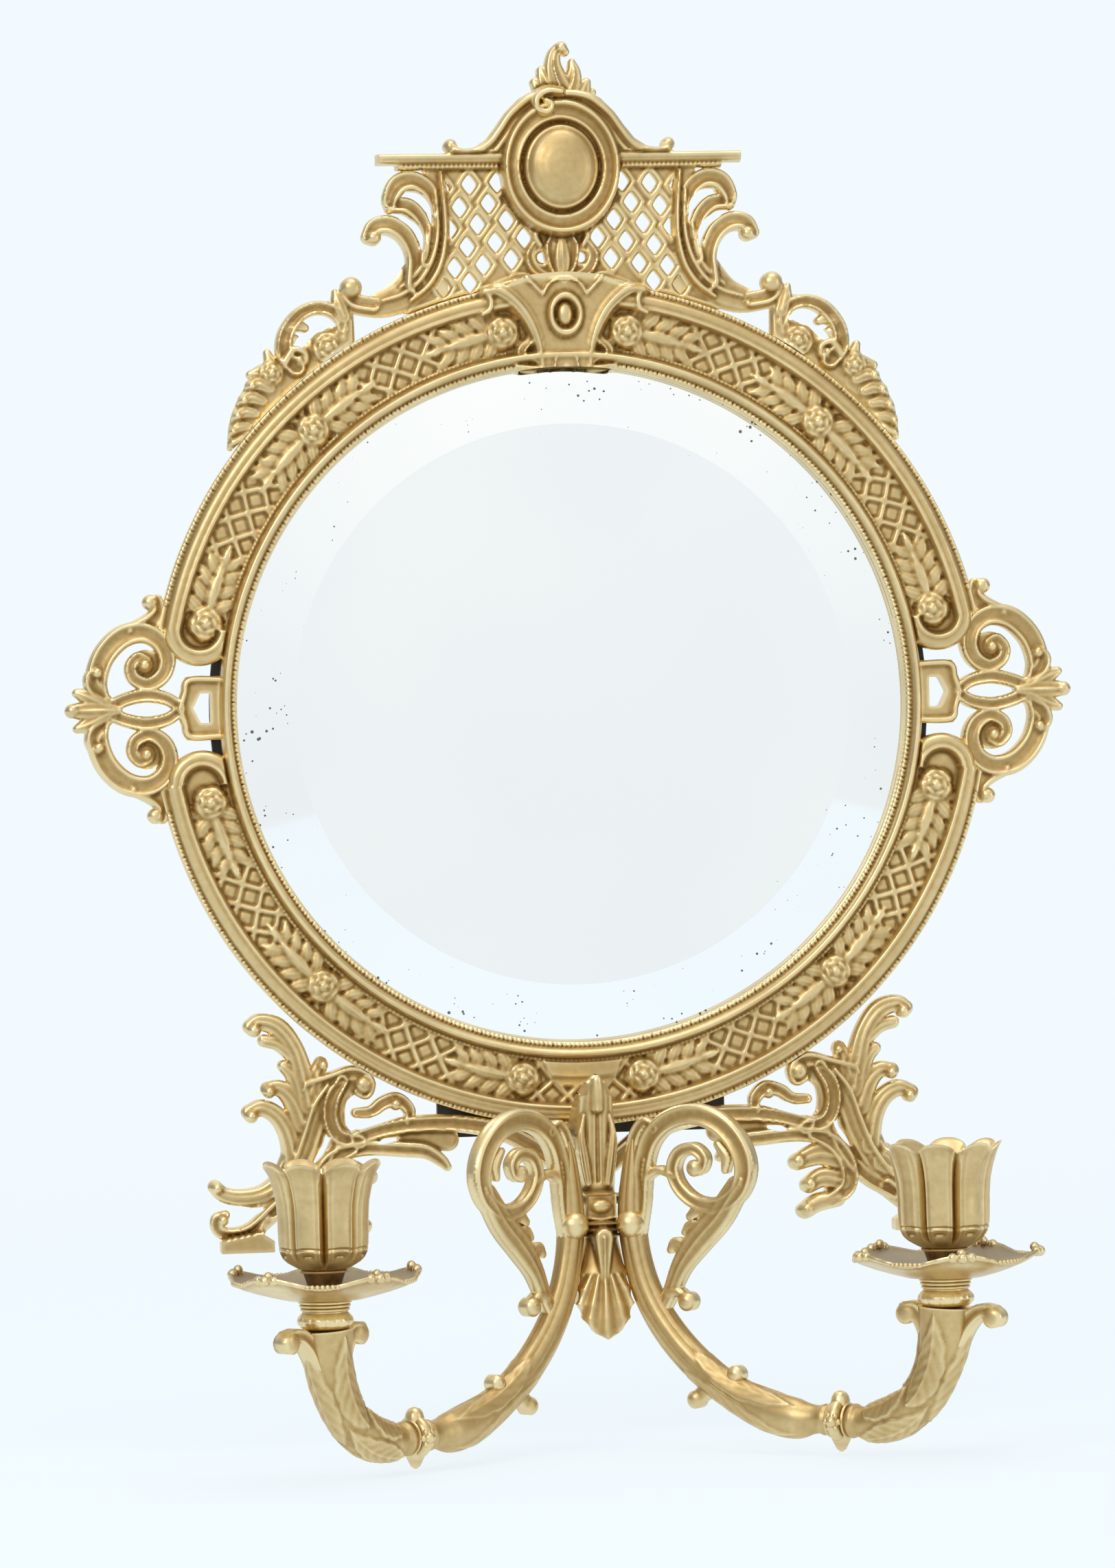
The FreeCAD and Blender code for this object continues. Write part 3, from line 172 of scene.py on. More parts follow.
# ------------------------------------------------------------------ finishes
# A noise's scale is 1000 over the width of its patches in millimetres.
def gilt_brass(name, colours, darken=0.0, rough=0.38):
    """Gilded cast brass: satin gold, rubbed bright with a painted highlight on high places, brown with old grime and
    painted shade in the hollows.

    The relief of each casting is stored with its mesh, so grime, wear, painted shade and painted highlight follow the
    carving.
    """
    material, tree, shader, place = surface(name, Metallic=1.0)
    carved = add(tree, "Attribute", attribute_name="relief").outputs["Fac"]
    # Mottling left by handling and old lacquer, 2.5 mm
    patches = add(tree, "TexNoise", {"Vector": place, "Scale": 1000 / 2.5, "Detail": 4.0})
    mottle = add(tree, "MapRange", (patches, 0.3, 0.7, -0.07 - darken, 0.07 - darken))
    # Backs of the castings, never burnished; faces turned to the wall are also darkened as painted shade
    facing = add(tree, "SeparateXYZ", (add(tree, "NewGeometry").outputs["Normal"],))
    rough_backs_and_shade = add(tree, "MapRange", (facing.outputs["Y"], 0.85, 0.98, 0.0, 0.34))
    wear_and_painted_light = add(tree, "Math", (carved, mottle), operation="ADD")
    stains_wear_and_painted_light = add(tree, "Math", (wear_and_painted_light, rough_backs_and_shade), operation="SUBTRACT")
    # Painted shade darkens the hollows and a painted highlight brightens the high places, over real grime, wear and
    # mottling.
    tone = add(tree, "ValToRGB", (stains_wear_and_painted_light,), [(0.02, colours.dirt_and_shade), (0.27, colours.shade), (0.5, colours.gold),
                                              (1.0, colours.worn_and_highlit)])
    # Cloudy tarnish, 20 mm
    clouds = add(tree, "TexNoise", {"Vector": place, "Scale": 1000 / 20, "Detail": 3.0})
    tarnish = add(tree, "MapRange", (clouds, 0.4, 0.75, 0.0, 0.35))
    tarnished = add(tree, "Mix", {0: tarnish, 6: tone, 7: (*colours.shade, 1)}, data_type="RGBA").outputs[2]
    # Skin left by the sand mould, grain 0.7 mm
    grain = add(tree, "TexNoise", {"Vector": place, "Scale": 1000 / 0.7, "Detail": 2.0})
    skin = add(tree, "Bump", {"Height": grain, "Strength": 0.2, "Distance": 0.00006})
    sheen = add(tree, "MapRange", (stains_wear_and_painted_light, 0.15, 0.8, rough + 0.2, rough - 0.04))
    feed(tree, shader, {"Base Color": tarnished, "Roughness": sheen, "Normal": skin})
    return material


def dusty_gilt(name, colours):
    """Gilt pan: gold below and at its rim, dulled to a warm grey where wax and dust lie on it."""
    material = gilt_brass(name, colours)
    tree = material.node_tree
    shader = tree.nodes["Principled BSDF"]
    gold = shader.inputs["Base Color"].links[0].from_socket
    facing = add(tree, "SeparateXYZ", (add(tree, "NewGeometry").outputs["Normal"],))
    film = add(tree, "MapRange", (facing.outputs["Z"], 0.55, 0.9, 0.0, 0.85))
    dulled = add(tree, "Mix", {0: film, 6: gold, 7: (*linear("#BDB199"), 1)}, data_type="RGBA").outputs[2]
    feed(tree, shader, {"Base Color": dulled,
                        "Roughness": add(tree, "MapRange", (film, 0.0, 0.85, 0.34, 0.6)),
                        "Metallic": add(tree, "MapRange", (film, 0.0, 0.85, 1.0, 0.5))})
    return material


def dark_bronze(name):
    """Brown bronzed neck, a little glossy, rubbed lighter in 3 mm patches."""
    material, tree, shader, place = surface(name, Metallic=1.0)
    patches = add(tree, "TexNoise", {"Vector": place, "Scale": 1000 / 3, "Detail": 3.0})
    tone = add(tree, "ValToRGB", (patches,), [(0.3, linear("#5A4126")), (0.7, linear("#8A6C46"))])
    handling = add(tree, "TexNoise", {"Vector": place, "Scale": 1000 / 2, "Detail": 3.0})
    feed(tree, shader, {"Base Color": tone, "Roughness": add(tree, "MapRange", (handling, 0.3, 0.7, 0.28, 0.44))})
    return material


def old_mirror(name):
    """Silvered plate glass: clear grey-white reflection over soft painted reflection clouds, and dark specks near the
    edge.
    """
    material, tree, shader, place = surface(name, Metallic=1.0, Roughness=0.04)
    centred = add(tree, "VectorMath", (place, (0, 0, -CENTRE_Z / 1000)), operation="ADD")
    parts = add(tree, "SeparateXYZ", (centred,)).outputs
    flat = add(tree, "CombineXYZ", {"X": parts["X"], "Z": parts["Z"]})
    radius = add(tree, "VectorMath", (flat,), operation="LENGTH").outputs["Value"]
    # Silvering clouded over 90 mm, slightly warm and cool, as a painted reflection of the room's soft shading
    clouds = add(tree, "TexNoise", {"Vector": place, "Scale": 1000 / 90, "Detail": 1.0})
    silver_with_painted_reflection = add(tree, "ValToRGB", (clouds,), [(0.35, linear("#FAFCFD")), (0.65, linear("#FDFEFD"))])
    # Specks of lost silver, one in 2.6 mm at most, thicker towards the edge and in 14 mm patches
    speck = add(tree, "TexVoronoi", {"Vector": place, "Scale": 1000 / 2.6})
    near_edge = add(tree, "MapRange", (radius, 0.09, 0.119, 0.0, 0.3))
    patches = add(tree, "TexNoise", {"Vector": place, "Scale": 1000 / 14, "Detail": 3.0})
    patchy = add(tree, "MapRange", (patches, 0.45, 0.7, 0.0, 1.0))
    size = add(tree, "Math", (near_edge, patchy), operation="MULTIPLY")
    lost = add(tree, "Math", (speck, size), operation="LESS_THAN")
    tone = add(tree, "Mix", {0: lost, 6: silver_with_painted_reflection, 7: (*linear("#6F6F6A"), 1)}, data_type="RGBA").outputs[2]
    feed(tree, shader, {"Base Color": tone})
    return material


def black_paint(name, rough=0.45):
    """Black japanned iron and board: soft sheen, dust in 4 mm patches."""
    material, tree, shader, place = surface(name)
    dust = add(tree, "TexNoise", {"Vector": place, "Scale": 1000 / 4, "Detail": 3.0})
    tone = add(tree, "ValToRGB", (dust,), [(0.3, linear("#141312")), (0.75, linear("#2B2926"))])
    rubbed = add(tree, "TexNoise", {"Vector": place, "Scale": 1000 / 9, "Detail": 3.0})
    sheen = add(tree, "MapRange", (rubbed, 0.3, 0.7, rough - 0.1, rough + 0.15))
    feed(tree, shader, {"Base Color": tone, "Roughness": sheen})
    return material


def plain_metal(name, light, dark, rough):
    """Rolled or turned metal left bare behind the frame: drawn streaks 1.6 mm long and dull spots."""
    material, tree, shader, place = surface(name, Metallic=1.0)
    stretched = add(tree, "Mapping", {"Vector": place, "Scale": (1, 1, 6)})
    streaks = add(tree, "TexNoise", {"Vector": stretched, "Scale": 1000 / 1.6, "Detail": 4.0})
    tone = add(tree, "ValToRGB", (streaks,), [(0.3, linear(dark)), (0.7, linear(light))])
    spots = add(tree, "TexNoise", {"Vector": place, "Scale": 1000 / 5, "Detail": 3.0})
    sheen = add(tree, "MapRange", (spots, 0.3, 0.7, rough - 0.06, rough + 0.1))
    feed(tree, shader, {"Base Color": tone, "Roughness": sheen})
    return material


def give(finish, *nodes):
    """Put a finish on CAD nodes that stay as they are."""
    for name in nodes:
        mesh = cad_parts[name].data
        mesh.materials.clear()
        mesh.materials.append(finish)


# ------------------------------------------------------------------ lines and sections
def smooth(rows, steps=5):
    """Points along a smooth line through rows of numbers, the first two of each being its place."""
    rows = np.asarray(rows, float)
    padded = np.vstack([2 * rows[0] - rows[1], rows, 2 * rows[-1] - rows[-2]])
    share = np.linspace(0, 1, steps, endpoint=False)[:, None]
    line = []
    for before, start, stop, after in zip(padded, padded[1:], padded[2:], padded[3:]):
        line.append(start + share * (stop - before) / 2
                    + share ** 2 * (before - 2.5 * start + 2 * stop - after / 2)
                    + share ** 3 * (3 * start - 3 * stop + after - before) / 2)
    return np.vstack(line + [rows[-1:]])


def dome(place):
    """Height of a half circle, from 1 at its middle to 0 at its edge."""
    return np.sqrt(np.clip(1 - np.square(place), 0, 1))


# Height across a stroke, from its left edge (-1) to its right edge (1), as a share of its crown
SECTIONS = {
    "round": [(k / 12, float(dome(k / 12))) for k in range(-12, 13)],
    "band": [(-1, 0), (-.93, .55), (-.8, .95), (-.66, 1), (-.5, .72), (-.25, .48), (0, .42), (.25, .48),
             (.5, .72), (.66, 1), (.8, .95), (.93, .55), (1, 0)],
    "ribbed": [(-1, 0), (-.92, .5), (-.76, .85), (-.6, .6), (-.5, .62), (-.28, .92), (0, 1), (.28, .92), (.5, .62),
               (.6, .6), (.76, .85), (.92, .5), (1, 0)],
    "leaf": [(-1, 0), (-.9, .42), (-.7, .72), (-.42, .66), (-.16, .72), (0, 1), (.16, .72), (.42, .66), (.7, .72),
             (.9, .42), (1, 0)],
    "roll": [(-1, 0), (-.95, .5), (-.8, .9), (-.6, 1), (-.38, .86), (-.2, .5), (.1, .3), (.45, .3), (.7, .5),
             (.85, .55), (.95, .35), (1, 0)],
    "bevel": [(-1, 0), (-.6, 1), (.6, 1), (1, 0)],
}


# ------------------------------------------------------------------ castings drawn as height maps
class Relief:
    """Height map of a casting. cover is how far inside the casting's outline each place lies."""
    MARGIN = 0.9

    def __init__(self, across, up, height=0.0, cover=-9.0):
        self.across, self.up = np.asarray(across, float), np.asarray(up, float)
        self.x, self.z = np.meshgrid(self.across, self.up, indexing="ij")
        self.height = np.full(self.x.shape, float(height))
        self.cover = np.full(self.x.shape, float(cover))

    def window(self, low, high):
        """Slices of the grid that hold a box."""
        parts = []
        for lines, start, stop in ((self.across, low[0], high[0]), (self.up, low[1], high[1])):
            parts.append(slice(max(np.searchsorted(lines, start) - 1, 0), np.searchsorted(lines, stop) + 1))
        return tuple(parts)

    def lay(self, part, height, cover, widen=True):
        """Raise the surface where cover is positive, and widen the casting there."""
        near = cover > (-self.MARGIN if widen else 0)
        self.height[part] = np.where(near, np.maximum(self.height[part], height), self.height[part])
        if widen:
            self.cover[part] = np.maximum(self.cover[part], cover)

    def stroke(self, rows, edge, crown, section="round", widen=True, steps=5):
        """Rounded line through (x, z, width) rows, edge high at its sides and edge + crown at most."""
        line = smooth(rows, steps)
        reach = line[:, 2].max() / 2 + 1
        part = self.window(line[:, :2].min(0) - reach, line[:, :2].max(0) + reach)
        if self.x[part].size == 0:
            return
        start, run = line[:-1], np.diff(line, axis=0)
        off_x = self.x[part][..., None] - start[:, 0]
        off_z = self.z[part][..., None] - start[:, 1]
        share = np.clip((off_x * run[:, 0] + off_z * run[:, 1]) / (run[:, 0] ** 2 + run[:, 1] ** 2 + 1e-9), 0, 1)
        off_x = off_x - share * run[:, 0]
        off_z = off_z - share * run[:, 1]
        half = np.maximum(start[:, 2] + share * run[:, 2], 0.05) / 2
        cover = half - np.hypot(off_x, off_z)
        side = np.sign(run[:, 0] * off_z - run[:, 1] * off_x)
        best = cover.argmax(-1)[..., None]
        cover, half, side = (np.take_along_axis(grid, best, -1)[..., 0] for grid in (cover, half, side))
        across = side * np.clip(1 - cover / half, 0, 1)
        table = np.array(SECTIONS[section])
        rise = np.interp(across, table[:, 0], table[:, 1]) * (2 * half / line[:, 2].max()) ** 0.6
        self.lay(part, edge + crown * rise, cover, widen)

    def cut(self, rows):
        """Opening along a smooth line through (x, z, width) rows."""
        cutter = Relief(self.across, self.up)
        cutter.stroke(rows, 0, 1)
        self.cover = np.minimum(self.cover, -cutter.cover)

    def boss(self, x, z, radius, edge, crown, widen=True):
        """Dome."""
        part = self.window((x - radius - 1, z - radius - 1), (x + radius + 1, z + radius + 1))
        far = np.hypot(self.x[part] - x, self.z[part] - z)
        self.lay(part, edge + crown * dome(np.minimum(far / radius, 1)), radius - far, widen)

    def plate(self, corners, height, widen=True):
        """Flat of this height inside a convex outline, given clockwise or not."""
        corners = np.array(corners, float)
        middle = corners.mean(0)
        cover = np.full(self.x.shape, 99.0)
        for start, stop in zip(corners, np.roll(corners, -1, axis=0)):
            along = (stop - start) / np.linalg.norm(stop - start)
            inward = np.array([-along[1], along[0]])
            if (middle - start) @ inward < 0:
                inward = -inward
            cover = np.minimum(cover, (self.x - start[0]) * inward[0] + (self.z - start[1]) * inward[1])
        self.lay((slice(None), slice(None)), height, cover, widen)
        return cover

    def rose(self, x, z, radius, edge, crown, turn=0.0, widen=False):
        """Rose: five outer petals, five inner ones between them and a bud."""
        part = self.window((x - radius - 1, z - radius - 1), (x + radius + 1, z + radius + 1))
        off_x, off_z = self.x[part] - x, self.z[part] - z
        far = np.hypot(off_x, off_z) / radius
        angle = np.arctan2(off_z, off_x) + turn
        outer = np.abs(np.cos(2.5 * angle))
        inner = np.abs(np.sin(2.5 * angle))
        edge_far = 0.86 + 0.14 * outer
        petal = (far < edge_far) * (0.24 + 0.4 * np.sin(np.clip((far - 0.5) / 0.4, 0, 1) * math.pi)
                                    * (0.35 + 0.65 * outer))
        ring = (far < 0.62) * (0.5 + 0.34 * np.sin(np.clip((far - 0.28) / 0.34, 0, 1) * math.pi)
                               * (0.3 + 0.7 * inner))
        bud = (far < 0.32) * (0.55 + 0.45 * dome(far / 0.32))
        rise = np.maximum(np.maximum(petal, ring), bud)
        self.lay(part, edge + crown * rise, (edge_far - far) * radius, widen)

    def spray(self, x, z, heading, length, edge, crown, pairs=4, widen=False):
        """Leafy twig: pairs of pointed leaves, a long one between them and one at the tip."""
        start = np.array([x, z])
        ahead = np.array([math.cos(heading), math.sin(heading)])
        beside = np.array([-ahead[1], ahead[0]])
        for pair in range(pairs):
            for side in (1, -1):
                share = (pair + 0.25 + 0.2 * side) / pairs
                root = start + ahead * length * share * 0.74
                size = length * (0.42 - 0.1 * share)
                way = ahead * (0.56 + 0.24 * share) + beside * side * (0.84 - 0.24 * share)
                tip = root + way * size
                middle = root + way * size * 0.5 + beside * side * 0.6
                self.stroke([(*root, 1.6), (*middle, size * 0.46), (*tip, 0.8)], edge, crown * (0.86 - 0.25 * share),
                            "leaf", widen, 3)
        for places, widths, lift, share in (((0, 0.4, 0.74), (2.0, length * 0.17, 1.2), 0.5, 1.0),
                                            ((0.68, 0.85, 1.0), (1.4, length * 0.13, 0.4), 0.2, 0.8)):
            rows = [(*(start + ahead * length * place), width) for place, width in zip(places, widths)]
            self.stroke(rows, edge + lift, crown * share, "leaf", widen, 3)

    def settle(self, passes=1):
        """Soften the steps between strokes, as sand and gilding do."""
        known = (self.cover > -self.MARGIN).astype(float)
        for axis in [0, 1] * passes:
            sums = []
            for grid in (self.height * known, known):
                grid = np.moveaxis(grid, axis, 0)
                wide = np.concatenate([grid[1:2], grid, grid[-2:-1]])
                sums.append(np.moveaxis(wide[:-2] + 2 * wide[1:-1] + wide[2:], 0, axis))
            self.height = np.where(known > 0, sums[0] / np.maximum(sums[1], 1), self.height)

    def doubled(self, axis, start=0, stop=None, last=False):
        """Whole casting from the half that begins, or with last ends, at its middle."""
        way = -1 if last else 1
        lines = [self.across, self.up]
        half = lines[axis][start:stop][::way]
        lines[axis] = np.concatenate([2 * half[0] - half[:0:-1], half])[::way]
        whole = Relief(*lines)
        for name in ("height", "cover"):
            grid = np.moveaxis(getattr(self, name), axis, 0)[start:stop][::way]
            setattr(whole, name, np.moveaxis(np.concatenate([grid[:0:-1], grid])[::way], 0, axis))
        return whole


def cells(relief):
    """Polygons of the covered part of a height map, clipped to its outline.

    Returns the corners as (x, z, height) rows, the polygons, and the outline's edges.
    """
    cover, inside = relief.cover, relief.cover > 0
    grids = (relief.x, relief.z, relief.height)
    ids = [np.full(inside.shape, -1) for _ in range(3)]
    count = int(inside.sum())
    ids[0][inside] = np.arange(count)
    rows = [np.stack([grid[inside] for grid in grids], 1)]
    for axis, low, high in ((1, np.s_[:-1, :], np.s_[1:, :]), (2, np.s_[:, :-1], np.s_[:, 1:])):
        crossed = inside[low] != inside[high]
        first, second = cover[low][crossed], cover[high][crossed]
        share = np.clip(first / (first - second), 0.05, 0.95)
        rows.append(np.stack([grid[low][crossed] * (1 - share) + grid[high][crossed] * share for grid in grids], 1))
        ids[axis][low][crossed] = count + np.arange(int(crossed.sum()))
        count += int(crossed.sum())
    corner, along, upright = ids
    slots = np.stack([corner[:-1, :-1], along[:-1, :-1], corner[1:, :-1], upright[1:, :-1],
                      corner[1:, 1:], along[:-1, 1:], corner[:-1, 1:], upright[:-1, :-1]], -1).reshape(-1, 8)
    solid = slots[:, ::2] >= 0
    polygons = slots[solid.all(1)][:, ::2].tolist()
    outline = []
    for slot in slots[solid.any(1) & ~solid.all(1)].tolist():
        loop = [(place, index) for place, index in enumerate(slot) if index >= 0]
        polygons.append([index for _, index in loop])
        for (place, index), (after, follower) in zip(loop, loop[1:] + loop[:1]):
            if place % 2 and after % 2:
                outline.append((index, follower))
    return np.vstack(rows), polygons, outline


def unbent(x, z):
    """The map's places, left as they are."""
    return np.column_stack([x, z])


def casting(relief, bend=unbent, back=0.0, two_sided=False):
    """Closed mesh of a height map: ornament in front, walls round every edge and a back.

    bend moves (x, z) of the map to (x, z) of the model; back is the depth behind, a number or a
    function of the map's places. A two-sided casting has the same ornament behind.
    """
    corners, polygons, outline = cells(relief)
    outline = np.array(outline)
    used, ends = np.unique(outline, return_inverse=True)
    ends = ends.reshape(-1, 2)
    count = len(corners)
    if two_sided:
        behind = corners * (1, 1, -1)
        faces = polygons + [[index + count for index in polygon[::-1]] for polygon in polygons]
        faces += [(stop, start, start + count, stop + count) for start, stop in outline.tolist()]
        rows = np.vstack([corners, behind])
    else:
        rim = corners[used].copy()
        rim[:, 2] = back(rim[:, 0], rim[:, 1]) if callable(back) else back
        walls = [(stop, start, count + first, count + second)
                 for (start, stop), (first, second) in zip(outline.tolist(), ends.tolist())]
        _, _, faces_behind, origins, _, _ = delaunay_2d_cdt(
            [Vector(row[:2]) for row in rim.tolist()], [tuple(pair) for pair in ends.tolist()], [], 0, 1e-6)
        behind = []
        for face in faces_behind:
            names = [origins[index][0] if origins[index] else -1 for index in face]
            if min(names) < 0:
                continue
            middle = rim[names, :2].mean(0)
            i = int(np.clip(np.searchsorted(relief.across, middle[0]) - 1, 0, len(relief.across) - 2))
            k = int(np.clip(np.searchsorted(relief.up, middle[1]) - 1, 0, len(relief.up) - 2))
            if relief.cover[i:i + 2, k:k + 2].mean() > 0:
                behind.append([count + index for index in names[::-1]])
        faces = polygons + walls + behind
        rows = np.vstack([corners, rim])
    placed = bend(rows[:, 0], rows[:, 1])
    return np.column_stack([placed[:, 0], rows[:, 2], placed[:, 1]]), faces


# ------------------------------------------------------------------ turned and swept shapes
def grid_faces(rows, columns, closed=True):
    """Quads of a grid of points, its columns joined into a ring."""
    faces = []
    for row in range(rows - 1):
        for column in range(columns if closed else columns - 1):
            after = (column + 1) % columns
            faces.append((row * columns + column, row * columns + after,
                          (row + 1) * columns + after, (row + 1) * columns + column))
    return faces


def capped(points):
    """Closed tube from rings of points, with both ends filled."""
    points = np.asarray(points, float)
    rows, columns = points.shape[:2]
    faces = grid_faces(rows, columns)
    faces.append(tuple(range(columns))[::-1])
    faces.append(tuple((rows - 1) * columns + column for column in range(columns)))
    return points.reshape(-1, 3), faces


def rod(x, z, radius, back, front, sides=24):
    """Round bar along the depth, its edges eased."""
    turn = np.linspace(0, 2 * math.pi, sides, endpoint=False)
    rings = []
    for size, depth in ((radius - 0.3, back), (radius, back + 0.3), (radius, front)):
        rings.append(np.column_stack([x + size * np.cos(turn), np.full(sides, depth), z + size * np.sin(turn)]))
    verts, faces = capped(rings)
    return verts, [face[::-1] for face in faces]


def block(x, z, half_x, half_z, back, front, ease=0.4):
    """Plate with eased edges behind the frame."""
    rings = []
    for shrink, depth in ((ease, back), (0, back + ease), (0, front)):
        across, up = half_x - shrink, half_z - shrink
        rings.append([(x - across, depth, z - up), (x + across, depth, z - up), (x + across, depth, z + up),
                      (x - across, depth, z + up)])
    verts, faces = capped(rings)
    return verts, [face[::-1] for face in faces]


# ------------------------------------------------------------------ pieces
def mark_relief(mesh, reach=1.2, strength=0.42):
    """Store how far each place stands over its surroundings: 0.5 is level, 1 a ridge, 0 a hollow."""
    count = len(mesh.vertices)
    place = np.empty(count * 3)
    mesh.vertices.foreach_get("co", place)
    normal = np.empty(count * 3)
    mesh.vertices.foreach_get("normal", normal)
    place, normal = place.reshape(-1, 3) * 1000, normal.reshape(-1, 3)
    ends = np.empty(len(mesh.edges) * 2, int)
    mesh.edges.foreach_get("vertices", ends)
    first, second = ends.reshape(-1, 2).T
    step = np.median(np.linalg.norm(place[first] - place[second], axis=1))
    share = np.maximum(np.bincount(ends, minlength=count), 1)[:, None]
    around = place.copy()
    for _ in range(int(np.clip(2 * (reach / step) ** 2, 2, 36))):
        total = np.column_stack([np.bincount(first, around[second, axis], count)
                                 + np.bincount(second, around[first, axis], count) for axis in range(3)])
        around = (around + total / share) / 2
    rise = ((place - around) * normal).sum(1)
    values = np.clip(0.5 + rise / (2 * strength), 0, 1).astype(np.float32)
    mesh.attributes.new("relief", "FLOAT", "POINT").data.foreach_set("value", values)


def mirrored(part):
    """The same shape on the other side of the mirror's middle."""
    verts, faces = part
    return np.asarray(verts) * (-1, 1, 1), [tuple(face)[::-1] for face in faces]


def piece(name, parts, finish, nodes, sharp=55):
    """One object from parts in model millimetres, riding on the frame in place of CAD nodes."""
    verts, faces, count = [], [], 0
    for points, polygons in parts:
        verts.append(np.asarray(points, float))
        faces += [[index + count for index in polygon] for polygon in polygons]
        count += len(points)
    mesh = bpy.data.meshes.new(name)
    mesh.from_pydata(metres(np.vstack(verts)).tolist(), [], faces)
    shaped = bmesh.new()
    shaped.from_mesh(mesh)
    bmesh.ops.recalc_face_normals(shaped, faces=shaped.faces)
    shaped.to_mesh(mesh)
    shaped.free()
    mark_relief(mesh)
    mesh.materials.append(finish)
    mesh.shade_smooth()
    mesh.set_sharp_from_angle(angle=math.radians(sharp))
    made = bpy.data.objects.new(name, mesh)
    bpy.context.scene.collection.objects.link(made)
    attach(made, BODY)
    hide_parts(*nodes)
    return made


# ------------------------------------------------------------------ ring
SIGHT_R = 118.5
RING_R = 148.0
RING_SCREWS = ((46.0, 131.5), (30.0, -135.0))           # bosses behind the ring, x and z, right side
BAND_INNER_R, BAND_OUTER_R = 125.7, 139.7
BAND_MIDDLE_R = 132.3
UNROLL_R = 132.0            # radius at which lengths round the unrolled ring are true
BAND_FLOOR = 5.2
LIP_BACK = 3.6
U_END = (130.9, 27.0)       # centre of each rounded band end, out and up from the ear's middle
U_INNER, U_OUTER = 6.7, 12.3
TRELLIS_PERIODS = 80
# Roses: degrees from the top, and which ways their leaves point (1 away from the top, -1 towards it)
ROSES = ((9.6, (1,)), (42.5, (1, -1)), (76.5, (-1,)), (103.8, (1,)), (136.7, (1, -1)), (170.7, (-1,)))
ROSE_R = 6.6
TWIG = 27.0

# Height over the back plane at each radius, sight edge to outer edge
RING_PROFILE = ((118.5, 6.2), (119.0, 6.8), (119.6, 7.0), (120.3, 6.9), (120.6, 7.9), (121.3, 9.5), (122.2, 10.35),
                (123.1, 10.2), (123.9, 9.0), (124.3, 6.9), (124.6, 6.1), (125.6, 6.1), (125.8, 5.2), (139.5, 5.2),
                (139.7, 6.2), (140.2, 6.4), (140.5, 7.8), (141.2, 8.75), (142.1, 8.6), (142.5, 8.0), (142.9, 8.45),
                (144.2, 8.4), (145.6, 7.5), (146.0, 6.3), (146.4, 5.6), (148.0, 5.2))


def to_band(x, z):
    """Place on the unrolled ring: way round from the top, and radius."""
    return UNROLL_R * math.atan2(x, z), math.hypot(x, z)


def roll_up(around, radius):
    """The unrolled ring's places, back on the round ring."""
    turn = around / UNROLL_R
    return np.column_stack([radius * np.sin(turn), radius * np.cos(turn)])


def ring_radii():
    """Grid lines across the ring, closer together over the mouldings."""
    lines = [118.2, 118.8]
    for start, stop, step in ((119.15, 126.0, 0.38), (126.4, 139.2, 0.55), (139.5, 147.7, 0.41), (147.8, 148.2, 0.4),
                              (148.6, 152.2, 0.7)):
        lines += list(np.arange(start, stop + 0.01, step))
    return np.array(lines)


def beads(around, radius, row, size, pitch):
    """Row of beads along the ring: how far they stand up."""
    along = np.abs(np.cos(np.pi * around * row / UNROLL_R / pitch))
    return size * dome(np.minimum(np.abs(radius - row) / size, 1)) * (0.25 + 0.75 * np.sqrt(along))


def band_trellis(around, radius):
    """Diagonal bars with a low panel in each diamond."""
    cell = 2 * math.pi * UNROLL_R / TRELLIS_PERIODS
    first = (around + radius - BAND_MIDDLE_R) / cell
    second = (around - radius + BAND_MIDDLE_R) / cell
    to_bar = np.minimum(np.abs(first - np.round(first)), np.abs(second - np.round(second))) * cell * math.sqrt(0.5)
    bars = 1.3 * np.clip((1.05 - to_bar) / 0.35, 0, 1)
    panel = 0.5 * np.clip((to_bar - 1.75) / 0.35, 0, 1)
    between_roses = np.abs(np.degrees(around / UNROLL_R) - 90.15) < 13.6
    return np.where(between_roses, 0.0, np.maximum(bars, panel))


